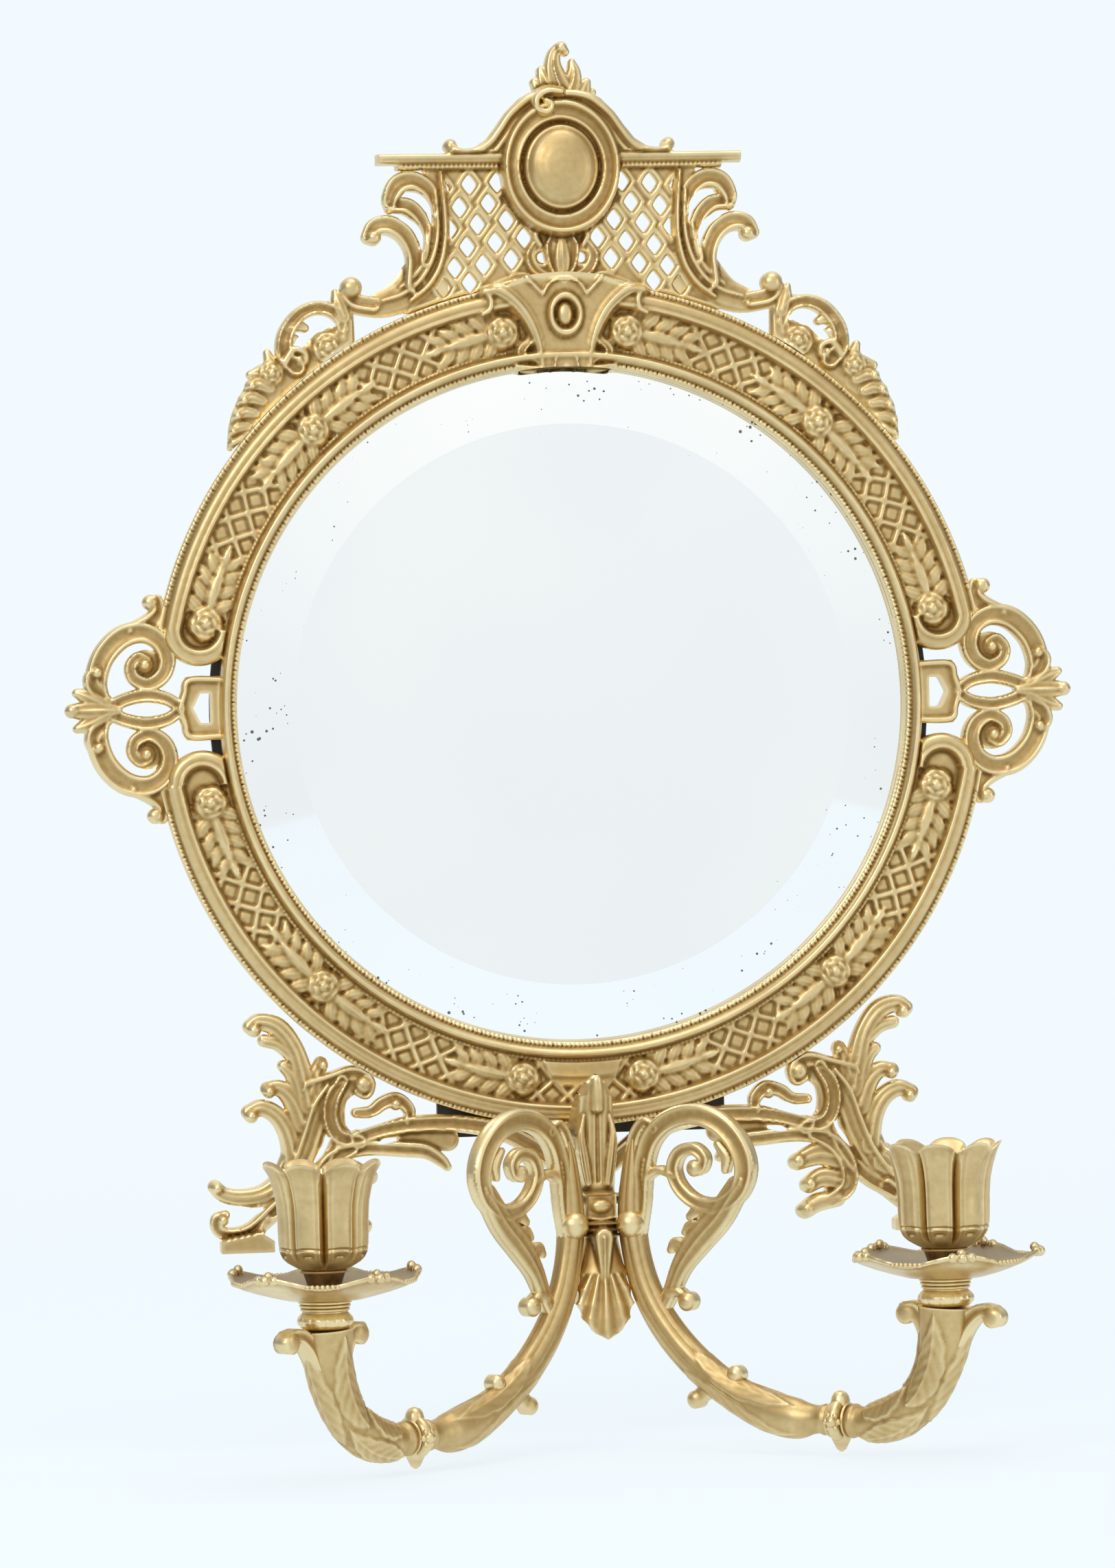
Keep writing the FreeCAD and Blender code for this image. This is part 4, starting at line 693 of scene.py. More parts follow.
def keystone(ring):
    """Shield with a raised oval, its strapwork and side bands, at the top of the ring."""
    def on_ring(rows):
        return [(*to_band(x, z), width) for x, z, width in rows]

    shield = [(0, 117.4), (6.6, 117.4), (7.6, 123), (8.4, 130), (12.2, 138.6), (17, 143.4), (21, 146.8), (13, 150.4),
              (0, 151.6)]
    for start, stop in zip(shield, shield[1:]):
        ring.plate([to_band(*start), to_band(*stop), to_band(0, 136)], 9.2)
    bands = [
        ([(-8.4, 118.4, 3), (-9.2, 126, 3.6), (-12, 134, 4.2), (-16.4, 140.6, 4.6), (-22.4, 145.2, 4.6),
          (-28.4, 145.0, 2.2)], 7.6, 3.2, "ribbed"),
        ([(-27.2, 144.6, 2), (-26.0, 141.6, 2.6), (-26.6, 138.6, 2.6), (-29.0, 137.0, 2.2)], 7.4, 2.4, "round"),
        ([(-12.4, 127.4, 2.4), (-15.4, 124.2, 3.4), (-14.4, 120.6, 3.6), (-11, 119.6, 2.6)], 7.0, 3.0, "roll"),
        ([(0, 149.2, 1.5), (-3.4, 148.6, 1.5), (-6, 146.8, 1.5), (-7.7, 143.6, 1.5)], 8.6, 2.0, "round"),
        ([(-7.7, 143.6, 1.5), (-13.4, 149.6, 1.9)], 8.6, 2.1, "round"),
        ([(0, 122.4, 1.2), (-3.1, 122.4, 1.2), (-4.4, 117.4, 1.2)], 8.6, 1.7, "round"),
        ([(-6.2, 117.4, 2.6), (-12, 117.7, 3.0), (-17.6, 118.6, 2.2)], 7.4, 2.6, "round"),
    ]
    for rows, edge, crown, section in bands:
        ring.stroke([(-around, radius, width) for around, radius, width in on_ring(rows)], edge, crown, section)
    # Raised oval ring round a low cabochon
    x, z = ring.z * np.sin(ring.x / UNROLL_R), ring.z * np.cos(ring.x / UNROLL_R) - 136.7
    off = (np.hypot(x / 5.2, z / 6.6) - 1) * 5.4
    low = 8.4 + 2.2 * dome(np.minimum(np.hypot(x / 2.9, z / 4.4), 1))
    ring.height = np.where(off < -0.8, low, ring.height)
    ring.height = np.where(np.abs(off) < 1.25, np.maximum(ring.height, 9.2 + 2.7 * dome(off / 1.25)), ring.height)


def ring_relief(colours):
    """Half of the unrolled ring, from the top round the right side to the bottom."""
    around = np.linspace(0, math.pi * UNROLL_R, 1045)
    radii = ring_radii()
    ring = Relief(around, radii)
    profile = np.array(RING_PROFILE)
    ring.height[:] = np.interp(ring.z, profile[:, 0], profile[:, 1])
    ring.cover[:] = np.minimum(ring.z - SIGHT_R, RING_R - ring.z)
    band = (ring.z > BAND_INNER_R) & (ring.z < BAND_OUTER_R)
    ring.height = np.where(band, BAND_FLOOR + band_trellis(ring.x, ring.z), ring.height)
    for turn, ways in ROSES:
        at = UNROLL_R * math.radians(turn)
        for way in ways:
            ring.spray(at + way * 2.0, BAND_MIDDLE_R, 0.0 if way > 0 else math.pi, TWIG, BAND_FLOOR + 0.5, 2.5)
        ring.rose(at, BAND_MIDDLE_R, ROSE_R, BAND_FLOOR + 0.9, 4.0)
    # Flat strap with slanting ends at the bottom, partly behind the spine
    foot = math.pi * UNROLL_R
    ring.plate([(foot + 20, 126.2), (foot - 13.4, 126.2), (foot - 11.0, 130.4), (foot + 20, 130.4)], 7.2)
    ring.plate([(foot + 20, 131.6), (foot - 9.4, 131.6), (foot - 7.6, 133.6), (foot + 20, 133.6)], 6.6)
    # Rounded ends of the band on each side of the ear
    x = ring.z * np.sin(ring.x / UNROLL_R)
    z = ring.z * np.cos(ring.x / UNROLL_R) - EAR_Z
    inward = U_END[1] - np.abs(z)
    far = np.hypot(x - U_END[0], inward)
    as_radius = 139.9 + (far - U_INNER + 0.6) * (146.2 - 139.9) / (U_OUTER - U_INNER + 0.6)
    turned = np.interp(as_radius, profile[:, 0], profile[:, 1])
    beyond = (inward > 0) & (ring.z > 124.5)
    ring.height = np.where(beyond & (far > U_INNER - 0.8), np.maximum(turned, 5.2), ring.height)
    gap = np.where(inward > 0, np.maximum(U_OUTER - far, 124.5 - ring.z), 9.0)
    ring.cover = np.minimum(ring.cover, gap)
    keystone(ring)
    ring.settle()
    # Beads along both edges of the inner rim and round the outside
    pitch = colours.bead_pitch * 1000
    plain = (inward < -9) & (ring.x > 22) | (ring.z < 124)
    for row, size in ((119.7, 1.0), (125.0, 0.7), (147.1, 1.0)):
        rise = np.interp(row, profile[:, 0], profile[:, 1]) + beads(ring.x, ring.z, row, size, pitch)
        near = (np.abs(ring.z - row) < size) & plain & (ring.x > 9)
        ring.height = np.where(near, np.maximum(ring.height, rise), ring.height)
    return ring


def ring_back(_, radius):
    """Back of the ring, set forward where it laps over the glass."""
    return np.where(radius < 121.7, LIP_BACK, 0.0)


def button_places():
    """Pivots of the four turn buttons, from their CAD boxes."""
    places = []
    for row in ("upper", "lower"):
        for side in ("left", "right"):
            low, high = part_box("turn_button_%s_%s" % (row, side))
            places.append(((low[0] + high[0]) * 500, (low[2] + high[2]) * 500 - CENTRE_Z))
    return places


# ------------------------------------------------------------------ ears
EAR_STROKES = (
    # edge of the bracket between the ring and the ear
    ([(123.6, 9.8, 2.0), (134.8, 9.8, 2.0), (136.6, 5, 2.0), (138.2, 0, 2.2)], 5.0, 1.6, "round"),
    # eye
    ([(138.0, 0.2, 3.4), (142.6, 3.6, 4.0), (150.2, 4.9, 4.4), (157.6, 3.4, 4.2), (163.4, 0.4, 4.4)],
     4.2, 2.4, "band"),
    # outer C scroll and its spiral
    ([(165.4, 2.6, 5.6), (167.0, 10, 6.6), (164.4, 18.6, 7.0), (158, 25.2, 7.0), (150.4, 26.8, 6.4),
      (144.4, 23.4, 5.8), (142.2, 17, 5.4), (144.2, 11.4, 5.0), (149, 8.8, 4.4), (153.8, 10.8, 4.0),
      (155.0, 15.0, 3.6), (152.4, 18.2, 3.4), (149.4, 17.0, 3.0)], 4.2, 2.8, "band"),
    # curl that leans on the ring
    ([(153, 27.6, 5.6), (147.8, 30.2, 6.0), (144.6, 34.0, 4.6), (145.2, 38.0, 3.4)], 3.6, 3.0, "roll"),
    # palmette
    ([(162, 1.6, 3.4), (167.6, 7.2, 5.0), (169.0, 11.2, 4.4), (167.0, 13.6, 3.2)], 4.6, 3.2, "roll"),
    ([(162.6, 1.0, 3.2), (169.4, 4.4, 4.8), (173.8, 6.2, 2.8)], 5.0, 3.2, "leaf"),
    ([(160, 0, 3.0), (167.6, 0, 6.0), (173.4, 0, 5.0), (176.2, 0, 2.6)], 5.4, 3.0, "leaf"),
)


def ear_relief():
    """Upper half of the right ear, counted up from its middle."""
    ear = Relief(np.arange(123.6, 180, 0.38), np.arange(0, 42, 0.38))
    ear.plate([(123.6, -2), (139.4, -2), (139.4, 1), (135.8, 11.1), (123.6, 11.1)], 5.0)
    for rows, edge, crown, section in EAR_STROKES:
        ear.stroke([(x, z, width * FULLER) for x, z, width in rows], edge, crown, section)
    ear.boss(149.6, 14.4, 6.4, 3.6, 0.8)
    for x, z, radius, edge in ((150.2, 15.6, 2.0, 5.4), (147.6, 37.2, 2.7, 4.2), (175.6, 0, 2.5, 6.0),
                               (166.8, 13.0, 2.1, 5.6)):
        ear.boss(x, z, radius, edge, 2.4)
    opening = ear.plate([(127.4, -2), (133.6, -2), (133.6, 0), (131, 5.2), (127.4, 5.2)], -9, False)
    ear.cover = np.minimum(ear.cover, -opening)
    ear.cover = np.minimum(ear.cover, np.hypot(ear.x, ear.z + EAR_Z) - 124.2)
    ear.settle()
    return ear.doubled(1)


def lift_ear(x, z):
    """The ear's places, moved up to its middle on the ring."""
    return np.column_stack([x, z + EAR_Z])


# ------------------------------------------------------------------ crest
OVAL_Z = 188.3
CREST_OPENINGS = ((22.2, 183.6), (32.0, 183.0), (41.6, 181.7), (25.3, 176.3), (35.6, 175.0), (19.1, 170.3),
                  (29.4, 169.0), (39.2, 167.5), (13.0, 164.0), (23.2, 162.6), (33.2, 161.2), (17.7, 156.6),
                  (27.7, 154.8), (37.8, 153.8), (32.7, 148.5), (42.0, 147.0))
CREST_STROKES = (
    # long acanthus edge of the lattice
    ([(44.8, 187, 6), (43.4, 178, 6.5), (43.2, 168, 6.5), (44.6, 158, 8), (48.6, 150.5, 10), (55, 144.4, 9),
      (64, 140.6, 6.6), (74, 141, 5)], 3.6, 1.6, "bevel"),
    ([(42.4, 187, 1.6), (41.4, 176, 1.8), (41.2, 165, 1.8), (43.2, 155, 1.9), (47.6, 147.6, 2.0), (54, 142.4, 1.6)],
     4.8, 2.5, "round"),
    ([(44.4, 180, 1.4), (43.7, 168, 1.7), (45.6, 158, 1.9), (50.2, 149.8, 2.0), (56.6, 144.8, 1.8), (64, 142.4, 1.4)],
     4.6, 2.2, "round"),
    ([(46.6, 168, 1.3), (48.2, 157.5, 1.8), (52.4, 151.0, 2.0), (57.4, 147.2, 1.4)], 4.4, 2.0, "round"),
    # three curling leaves
    ([(44.4, 173, 3.6), (46.4, 180.2, 5.4), (51.4, 184.0, 6.2), (56.8, 183.2, 6.4), (60, 178.6, 5.0),
      (60.2, 174.8, 3.2)], 4.0, 3.5, "roll"),
    ([(47.8, 156, 5), (47.6, 165, 3.8), (49.8, 171.4, 4.6), (54.2, 175.4, 5.2), (59.6, 175.6, 4)], 3.8, 3.2, "roll"),
    ([(52, 148, 7), (52.2, 158, 5.2), (55.2, 165.2, 5.6), (60.4, 168.8, 6), (65.6, 168.4, 5.4), (68, 165, 4.4)],
     4.0, 3.5, "roll"),
    # curled end over the ring
    ([(67, 141, 5), (73.4, 142.4, 5), (77.2, 146, 3)], 3.6, 3.0, "roll"),
    # shoulder: link, C scroll, shell, tail
    ([(76.4, 145, 3.4), (76.8, 138.5, 4.8), (77.8, 129.4, 7)], 3.4, 3.0, "leaf"),
    ([(77.6, 137, 4.6), (79.2, 142, 4.2), (80.4, 146, 1.6)], 3.8, 3.2, "leaf"),
    ([(77.8, 133, 3.2), (80.6, 138.6, 4.0), (87, 140.4, 4.2), (93.6, 137.6, 4.6), (98.2, 130.8, 5.0),
      (98.4, 123.6, 5.4), (94.6, 119.6, 6.0)], 3.8, 3.4, "band"),
    ([(96.6, 133.4, 3.6), (93.6, 134.2, 3.4), (91.2, 133.4, 2.6)], 3.6, 2.8, "leaf"),
    ([(98.0, 128.6, 3.4), (95.2, 129.6, 3.0), (93.8, 128.8, 2.2)], 3.6, 2.6, "leaf"),
    ([(98.6, 121.6, 3.4), (95.4, 125.8, 2.8), (91.6, 124.6, 2.4), (91.4, 121.6, 2.2), (93.8, 120.8, 1.8)], 4.4, 3.0,
     "round"),
    ([(102.6, 119, 5), (104.6, 125, 2.2)], 3.6, 2.8, "leaf"),
    ([(105, 117.6, 7), (110.4, 117.4, 2.8)], 3.4, 2.8, "leaf"),
    ([(104.4, 112.6, 12), (109.8, 107, 9.6), (114.4, 100.2, 6.6), (118.2, 92, 1.8)], 2.8, 1.8, "bevel"),
    ([(104.0, 112.4, 3.6), (107.4, 114.0, 4.6), (110.2, 113.6, 4.0)], 3.6, 3.2, "leaf"),
    ([(106.8, 108.2, 3.6), (110.2, 109.4, 4.6), (113.0, 108.6, 3.8)], 3.6, 3.2, "leaf"),
    ([(109.4, 103.8, 3.4), (112.8, 104.4, 4.2), (115.4, 103.2, 3.6)], 3.4, 3.0, "leaf"),
    ([(112.0, 99.4, 3.0), (115.0, 99.2, 3.8), (117.0, 97.8, 3.0)], 3.2, 2.8, "leaf"),
    ([(114.2, 95.2, 2.6), (117.2, 93.8, 2.4)], 3.0, 2.4, "leaf"),
    # palmette under the oval
    ([(0, 149, 2.4), (0, 156, 5.4), (0, 164.6, 2.6)], 4.4, 3.2, "leaf"),
    ([(1.6, 150, 2.2), (3.6, 155, 3.2), (4.2, 161, 3.4), (2.4, 165.4, 1.6)], 4.2, 2.4, "roll"),
    ([(4.6, 149.8, 2.4), (9.4, 152.6, 3.2), (11.4, 157.4, 3), (9.6, 161.6, 1.8)], 4.0, 2.4, "roll"),
    ([(9, 148.6, 2.2), (14, 150.2, 3.0), (18.2, 149.4, 2.2), (24, 147.4, 1.8)], 3.8, 2.4, "roll"),
    ([(7.6, 161.2, 2.0), (9.2, 165, 2.4), (6.6, 167.4, 1.4)], 3.8, 2.2, "round"),
)
CREST_WEBS = (
    [(45, 177, 5), (45.4, 167, 7), (48, 157, 10), (52, 150, 12), (58, 145, 9), (66, 142, 6)],
    [(79, 131, 8), (85, 127, 9), (92, 122, 11), (99, 117.6, 13), (105, 112, 12), (111, 103.6, 9), (115, 96, 6)],
    [(78, 140, 5), (84, 141, 3), (94, 137, 3)],
)
CREST_CUTS = (
    [(45.8, 169.6, 1.0), (47.0, 175.2, 2.8), (50.4, 178.8, 3.0), (54.6, 180.2, 1.2)],
    [(49.2, 160.2, 1.0), (49.8, 165.4, 2.6), (52.6, 169.2, 2.8), (56.8, 171.2, 1.0)],
    [(80.6, 134.4, 1.6), (84, 135.8, 2.8), (88.2, 134.4, 2.6)],
    [(89.6, 130.8, 2.0), (92.4, 128.8, 3.6), (93.8, 127.0, 3.0)],
    [(67, 133.4, 2.4), (71.4, 131.6, 2.6)],
)
CREST_BALLS = (            # x, z, radius, height of the edge, rise
    (74.6, 147.2, 3.8, 4.0, 3.5), (66.4, 164.6, 2.7, 4.6, 3.0), (38.6, 196.4, 2.3, 5.0, 3.0),
    (95.0, 122.8, 4.2, 3.8, 0.9), (93.6, 122.4, 1.6, 5.0, 2.6), (110.4, 113.4, 1.9, 4.2, 3.0),
    (113.2, 108.3, 1.9, 4.2, 3.0), (115.6, 102.9, 1.8, 4.0, 2.9), (117.2, 97.5, 1.5, 3.8, 2.6),
)
HOOD_EDGE = ((-4, 215.5), (0, 215.6), (6, 215.4), (11, 214.3), (14.6, 212.2), (19, 207.8), (22.4, 203.0),
             (26.2, 198.2), (30.6, 195.4), (35.4, 194.6), (39, 195.6))


def around_oval(x, z, half_x, half_z):
    """How far a place lies from the oval's middle, as its mean radius."""
    return np.hypot(x / half_x, (z - OVAL_Z) / half_z) * (half_x + half_z) / 2


def crest_relief():
    """Right half of the crest, from its middle."""
    crest = Relief(np.arange(0, 121.5, 0.4), np.arange(90, 217.5, 0.4))
    x, z = crest.x, crest.z
    off_ring = np.hypot(x, z) - RING_R - 0.2
    # Pierced lattice with rounded bars
    edge = np.interp(z, (138, 146, 158, 170, 180, 192), (56, 49, 43, 42, 43, 45))
    lattice = np.minimum(np.minimum(190.6 - z, edge - x), np.minimum(off_ring, z - 138))
    openings = np.full(x.shape, -9.0)
    for middle_x, middle_z in CREST_OPENINGS:
        share = (np.abs((x - middle_x) / 2.7) ** 1.15 + np.abs((z - middle_z) / 3.6) ** 1.15) ** (1 / 1.15)
        openings = np.maximum(openings, (1 - share) * 2.16)
    openings = np.maximum(openings, (1 - np.hypot((x - 6.6) / 2.1, (z - 157) / 1.9)) * 2)
    lattice = np.minimum(lattice, -openings)
    # Bars carry a ridge along each side and small pits where they cross
    bars = 3.0 + 1.7 * dome(1 - np.clip(lattice / 1.5, 0, 1)) - 0.8 * np.clip((lattice - 1.3) / 0.5, 0, 1)
    crest.lay(np.s_[:, :], bars, lattice)
    for rows in CREST_WEBS:
        crest.stroke(rows, 3.2, 1.2, "bevel")
    for rows, low, crown, section in CREST_STROKES:
        crest.stroke([(x, z, width * FULLER) for x, z, width in rows], low, crown, section)
    for rows in CREST_CUTS:
        crest.cut(rows)
    # Hood: a smooth arch of parallel mouldings
    arch = np.array(HOOD_EDGE)
    crest.lay(np.s_[:, :], 8.2, np.minimum(np.interp(x, arch[:, 0], arch[:, 1]) - z, np.minimum(z - 192, 37 - x)))
    for inset, width, low, crown in ((1.5, 3.0, 8.0, 2.0), (4.6, 2.2, 8.2, 1.2)):
        crest.stroke([(x - inset * 0.75 * min(x / 15, 1), z - inset * (0.75 if x > 15 else 1), width)
                      for x, z in HOOD_EDGE], low, crown)
    for at_x, at_z, radius, low, crown in CREST_BALLS:
        crest.boss(at_x, at_z, radius, low, crown)
    crest.rose(83.4, 126.4, 6.3, 3.8, 3.7, 0.4, True)
    crest.rose(103.4, 117.6, 5.2, 3.8, 3.7, 1.1, True)
    # Bar with its row of beads
    rise = np.interp(z, (190.0, 190.5, 190.9, 191.6, 192.4, 193.2, 193.8), (6.4, 8.2, 7.6, 8.5, 9.0, 8.5, 7.4))
    bar = np.minimum(np.minimum(64.8 - x, 193.8 - z), z - 190.0)
    crest.height = np.where(bar > 0, rise, crest.height)
    crest.cover = np.maximum(crest.cover, bar)
    bead = 5.6 + 1.1 * np.sqrt(np.abs(np.cos(math.pi * x / 1.6))) * dome(np.minimum(np.abs(z - 189.1) / 1.0, 1))
    row = np.minimum(58.0 - x, 1.1 - np.abs(z - 189.2))
    crest.height = np.where(row > 0, bead, crest.height)
    crest.cover = np.maximum(crest.cover, row)
    # Oval boss in its frames
    reach = around_oval(x, z, 21.0, 24.0)
    profile = np.array([(0, 14.5), (3, 14.4), (6, 14.0), (9, 13.1), (11, 12.1), (12.3, 10.9), (12.7, 10.2),
                        (12.95, 10.0), (13.2, 10.5), (13.6, 10.4), (13.9, 9.0), (14.3, 7.6), (15.0, 7.4),
                        (15.5, 8.4), (15.9, 9.9), (16.4, 10.0), (17.4, 9.2), (18.6, 9.0), (19.5, 9.5), (20.1, 10.8),
                        (20.7, 11.7), (21.4, 11.5), (22.0, 10.4), (22.5, 9.0)])
    oval = np.interp(reach, profile[:, 0], profile[:, 1])
    crest.cover = np.maximum(crest.cover, 22.5 - reach)
    crest.height = np.where(reach < 22.6, oval, crest.height)
    crest.cover = np.minimum(crest.cover, off_ring)
    crest.settle()
    return crest.doubled(0)


FINIAL_STROKES = (
    ([(4, 210.5, 5), (9, 212, 5.4), (12.0, 214.6, 3.2)], 4.4, 3.2, "leaf"),
    ([(3, 211, 7), (8, 214.6, 6.6), (10.2, 218.2, 3.2)], 4.6, 3.4, "leaf"),
    ([(-1, 212, 7), (-5.2, 215.2, 6.4), (-8.0, 218.4, 3.4)], 4.6, 3.4, "leaf"),
    ([(0, 213, 8), (-3.8, 217.8, 6.8), (-5.8, 222.6, 3.0)], 4.8, 3.6, "leaf"),
    ([(2, 212, 9), (4.6, 217, 7.6), (5.8, 221.6, 5.0), (5.2, 225.4, 2.4)], 4.8, 3.8, "leaf"),
    ([(1.5, 209, 8), (1.0, 215, 9), (-0.8, 220, 7.8), (-1.6, 224.6, 5.8), (-0.9, 228.6, 4.4), (1.2, 230.4, 3.6),
      (3.0, 228.8, 2.6)], 5.0, 4.0, "leaf"),
    ([(0.5, 214.4, 2.2), (-4.4, 214.8, 2.8), (-8.4, 212.4, 3.0), (-8.2, 208.6, 3.0), (-4.8, 207.4, 2.8),
      (-3.0, 210.0, 2.6), (-5.2, 211.4, 2.4)], 10.2, 2.8, "round"),
)


def finial_relief():
    """Leaf finial on the hood; its two sides differ a little."""
    finial = Relief(np.arange(-16, 16.2, 0.32), np.arange(205, 234, 0.32))
    for rows, low, crown, section in FINIAL_STROKES:
        finial.stroke(rows, low, crown, section)
    finial.boss(1.3, 230.4, 2.1, 6.0, 2.6)
    finial.settle()
    return finial


# ------------------------------------------------------------------ base with its wings
BASE_STROKES = (
    # arched bands from the middle to the wing
    ([(80, -149.8, 4.6), (70, -147.0, 5.0), (58, -145.6, 5.2), (44, -146, 5.4), (30, -148.8, 5.8), (18, -155, 6),
      (4, -166, 6)], 3.6, 3.2, "band"),
    ([(86, -154.6, 5), (76, -153.4, 4.8), (64, -154.2, 5), (56, -155.2, 4.8), (50.6, -158.6, 3.8), (48.4, -161, 2.6)],
     3.6, 3.0, "roll"),
    # small and large C scrolls
    ([(61.6, -144.6, 2.6), (61.4, -140.6, 3.8), (65.4, -136.8, 4.2), (70.4, -138.0, 4.2), (74.6, -140.8, 3.6),
      (80, -141.2, 3)], 3.6, 3.2, "roll"),
    ([(96, -132, 6), (88.6, -129.4, 5), (82.0, -127.2, 4.6), (77.6, -128.0, 4.4), (75.2, -131.2, 4),
      (76.4, -134.4, 3.6), (79.2, -133.6, 3)], 3.8, 3.2, "roll"),
    ([(84.6, -129.6, 4), (88.6, -136, 5), (89.2, -143, 5), (86.4, -149.0, 5), (79, -151.2, 4.6)], 3.6, 3.2, "band"),
    # stem of the wing
    ([(87, -128.6, 4), (92, -134, 8), (96, -143, 10), (99.6, -153, 10), (105, -163.6, 9), (112, -172, 7)], 3.0, 2.6,
     "ribbed"),
    ([(90, -131, 1.6), (95, -138, 2), (98.6, -148, 2), (103, -158.6, 2), (110, -169, 1.6)], 4.6, 2.4, "round"),
    ([(88.0, -150.4, 3.4), (92.6, -160.0, 4.4), (100.6, -169.4, 4.6), (111, -175.6, 4.6)], 3.4, 3.0, "roll"),
    # leaves
    ([(96.6, -138, 7), (98.6, -127, 6.6), (101.4, -117.6, 5.8), (106.6, -110.6, 6), (112.8, -108.4, 5.2),
      (116.2, -110.0, 4.6)], 3.4, 3.6, "leaf"),
    ([(101.6, -121, 4), (106.6, -116.4, 4.2), (111.6, -115.0, 3.8)], 3.2, 3.0, "leaf"),
    ([(96, -134, 6.4), (93.6, -128, 5.4), (92.0, -123.2, 3.8)], 3.4, 3.2, "leaf"),
    ([(99, -135, 5.4), (101.8, -127.6, 4.6), (105.0, -124.0, 3.6)], 3.2, 3.2, "leaf"),
    ([(98.6, -144, 8), (102, -136, 6.4), (106.4, -131.8, 5), (110.8, -131.8, 4.2)], 3.2, 3.4, "leaf"),
    ([(102, -158, 7), (103.8, -148.4, 6), (107.4, -141.6, 5.6), (112.8, -138.4, 5.2), (117.6, -139.8, 4.4)], 3.2, 3.6,
     "leaf"),
    # lower scroll with its leaf tips
    ([(82, -153.4, 4.6), (89.4, -157.4, 5.6), (94, -165, 5.8), (93.4, -173, 5.6), (87.4, -177.4, 4.6)], 3.6, 3.4,
     "band"),
    ([(92, -162.6, 8), (84, -160.8, 7), (75.8, -163.6, 4.8)], 3.4, 3.0, "leaf"),
    ([(92, -170.6, 6.4), (85, -169.2, 6), (79.8, -171.8, 4.8)], 3.4, 3.0, "leaf"),
    ([(90, -176.8, 5), (83, -178.0, 5.6), (78.2, -180.8, 4.8)], 3.4, 3.2, "round"),
    # wing end and the scroll over the foot
    ([(106, -164.2, 7), (113.4, -168.4, 5.6), (121, -169.4, 5), (127, -168.2, 4.6), (130.0, -165.4, 4.2)], 3.4, 3.4,
     "leaf"),
    ([(126.6, -175.2, 2.6), (129.8, -176.6, 3.2), (129.2, -180.4, 3.8), (124.6, -182.2, 4.2), (117.4, -180.6, 4.8),
      (108, -172.6, 5)], 3.6, 3.2, "roll"),
    ([(112, -176.4, 3), (116, -182.4, 3), (122, -184.4, 3.4)], 3.4, 2.8, "round"),
)


BASE_WEBS = (
    [(86, -130, 7), (92, -136, 10), (97, -146, 13), (100, -156, 13), (106, -166, 11), (112, -172, 8)],
    [(80, -130, 7), (86, -136, 6), (87, -146, 7), (82, -152, 6)],
    [(48, -151.6, 8), (58, -150, 9), (70, -150.6, 9), (84, -153, 6)],
    [(92, -158, 8), (93, -168, 9), (88, -176, 6)],
    [(104, -162, 9), (112, -169.4, 8), (120, -170.5, 4)],
    [(108, -173, 7), (114, -178.6, 6), (122, -184, 6)],
)
BASE_CUTS = (
    [(66, -150.8, 1.4), (70, -151.4, 2.2), (72.6, -152, 1.0)],
    [(89.4, -149.6, 1.0), (92.4, -154.4, 2.2), (95, -158, 1.0)],
    [(66.0, -142.4, 2.2), (72, -143.6, 3.4), (79, -146.4, 2.0)],
    [(113.6, -173.6, 1.6), (119, -175.2, 4.0), (123.6, -175.8, 3.2)],
)


def base_relief():
    """Right half of the base, from its middle."""
    base = Relief(np.arange(0, 133, 0.42), np.arange(-190, -104, 0.42))
    for rows in BASE_WEBS:
        base.stroke(rows, 2.8, 1.2, "bevel")
    for rows, low, crown, section in BASE_STROKES:
        base.stroke([(x, z, width * FULLER) for x, z, width in rows], low, crown, section)
    for rows in BASE_CUTS:
        base.cut(rows)
    for x, z, radius in ((77.2, -131.2, 3.2), (66.2, -138.4, 2.2), (127.6, -177.0, 2.0), (115.2, -111.2, 2.4),
                         (110.4, -132.8, 2.2), (116.8, -141.2, 2.3), (91.4, -124.0, 1.9), (76.2, -163.0, 2.6),
                         (80.2, -171.2, 2.4), (79.0, -180.2, 2.6), (129.4, -165.8, 2.1)):
        base.boss(x, z, radius, 4.6, 2.9)
    base.plate([(110, -188.5), (128.6, -188.5), (128.6, -184.6), (122, -183.4), (114, -182), (110, -184.6)], 8.0)
    base.cover = np.minimum(base.cover, np.hypot(base.x, base.z) - RING_R - 0.2)
    base.settle()
    # Block that carries the spine
    block_cover = np.minimum(9.0 - base.x, 12.75 - np.abs(base.z + 159.75))
    base.lay(np.s_[:, :], 13.0, block_cover, False)
    base.cover = np.maximum(base.cover, block_cover)
    return base.doubled(0)


# ------------------------------------------------------------------ spine
SPINE_STATIONS = (
    (-129.0, 0.5, 33, 38.5), (-131.4, 3.2, 31, 40.0), (-136, 5.6, 26, 39.8), (-142, 6.4, 18, 38.6),
    (-150, 7.4, 13.2, 38.0), (-160, 7.2, 13.2, 37.4), (-168, 6.6, 13.2, 38.0), (-176, 6.4, 14.5, 41.4),
    (-180, 6.6, 17, 43.4), (-186, 6.3, 23, 44.6), (-194, 7.4, 30, 46.8), (-200, 9.2, 36, 48.6),
    (-207, 10.2, 41, 50.2), (-212, 8.6, 45, 51.2), (-216, 6.0, 47.6, 51.8), (-219.5, 0.5, 49.6, 52.0),
)


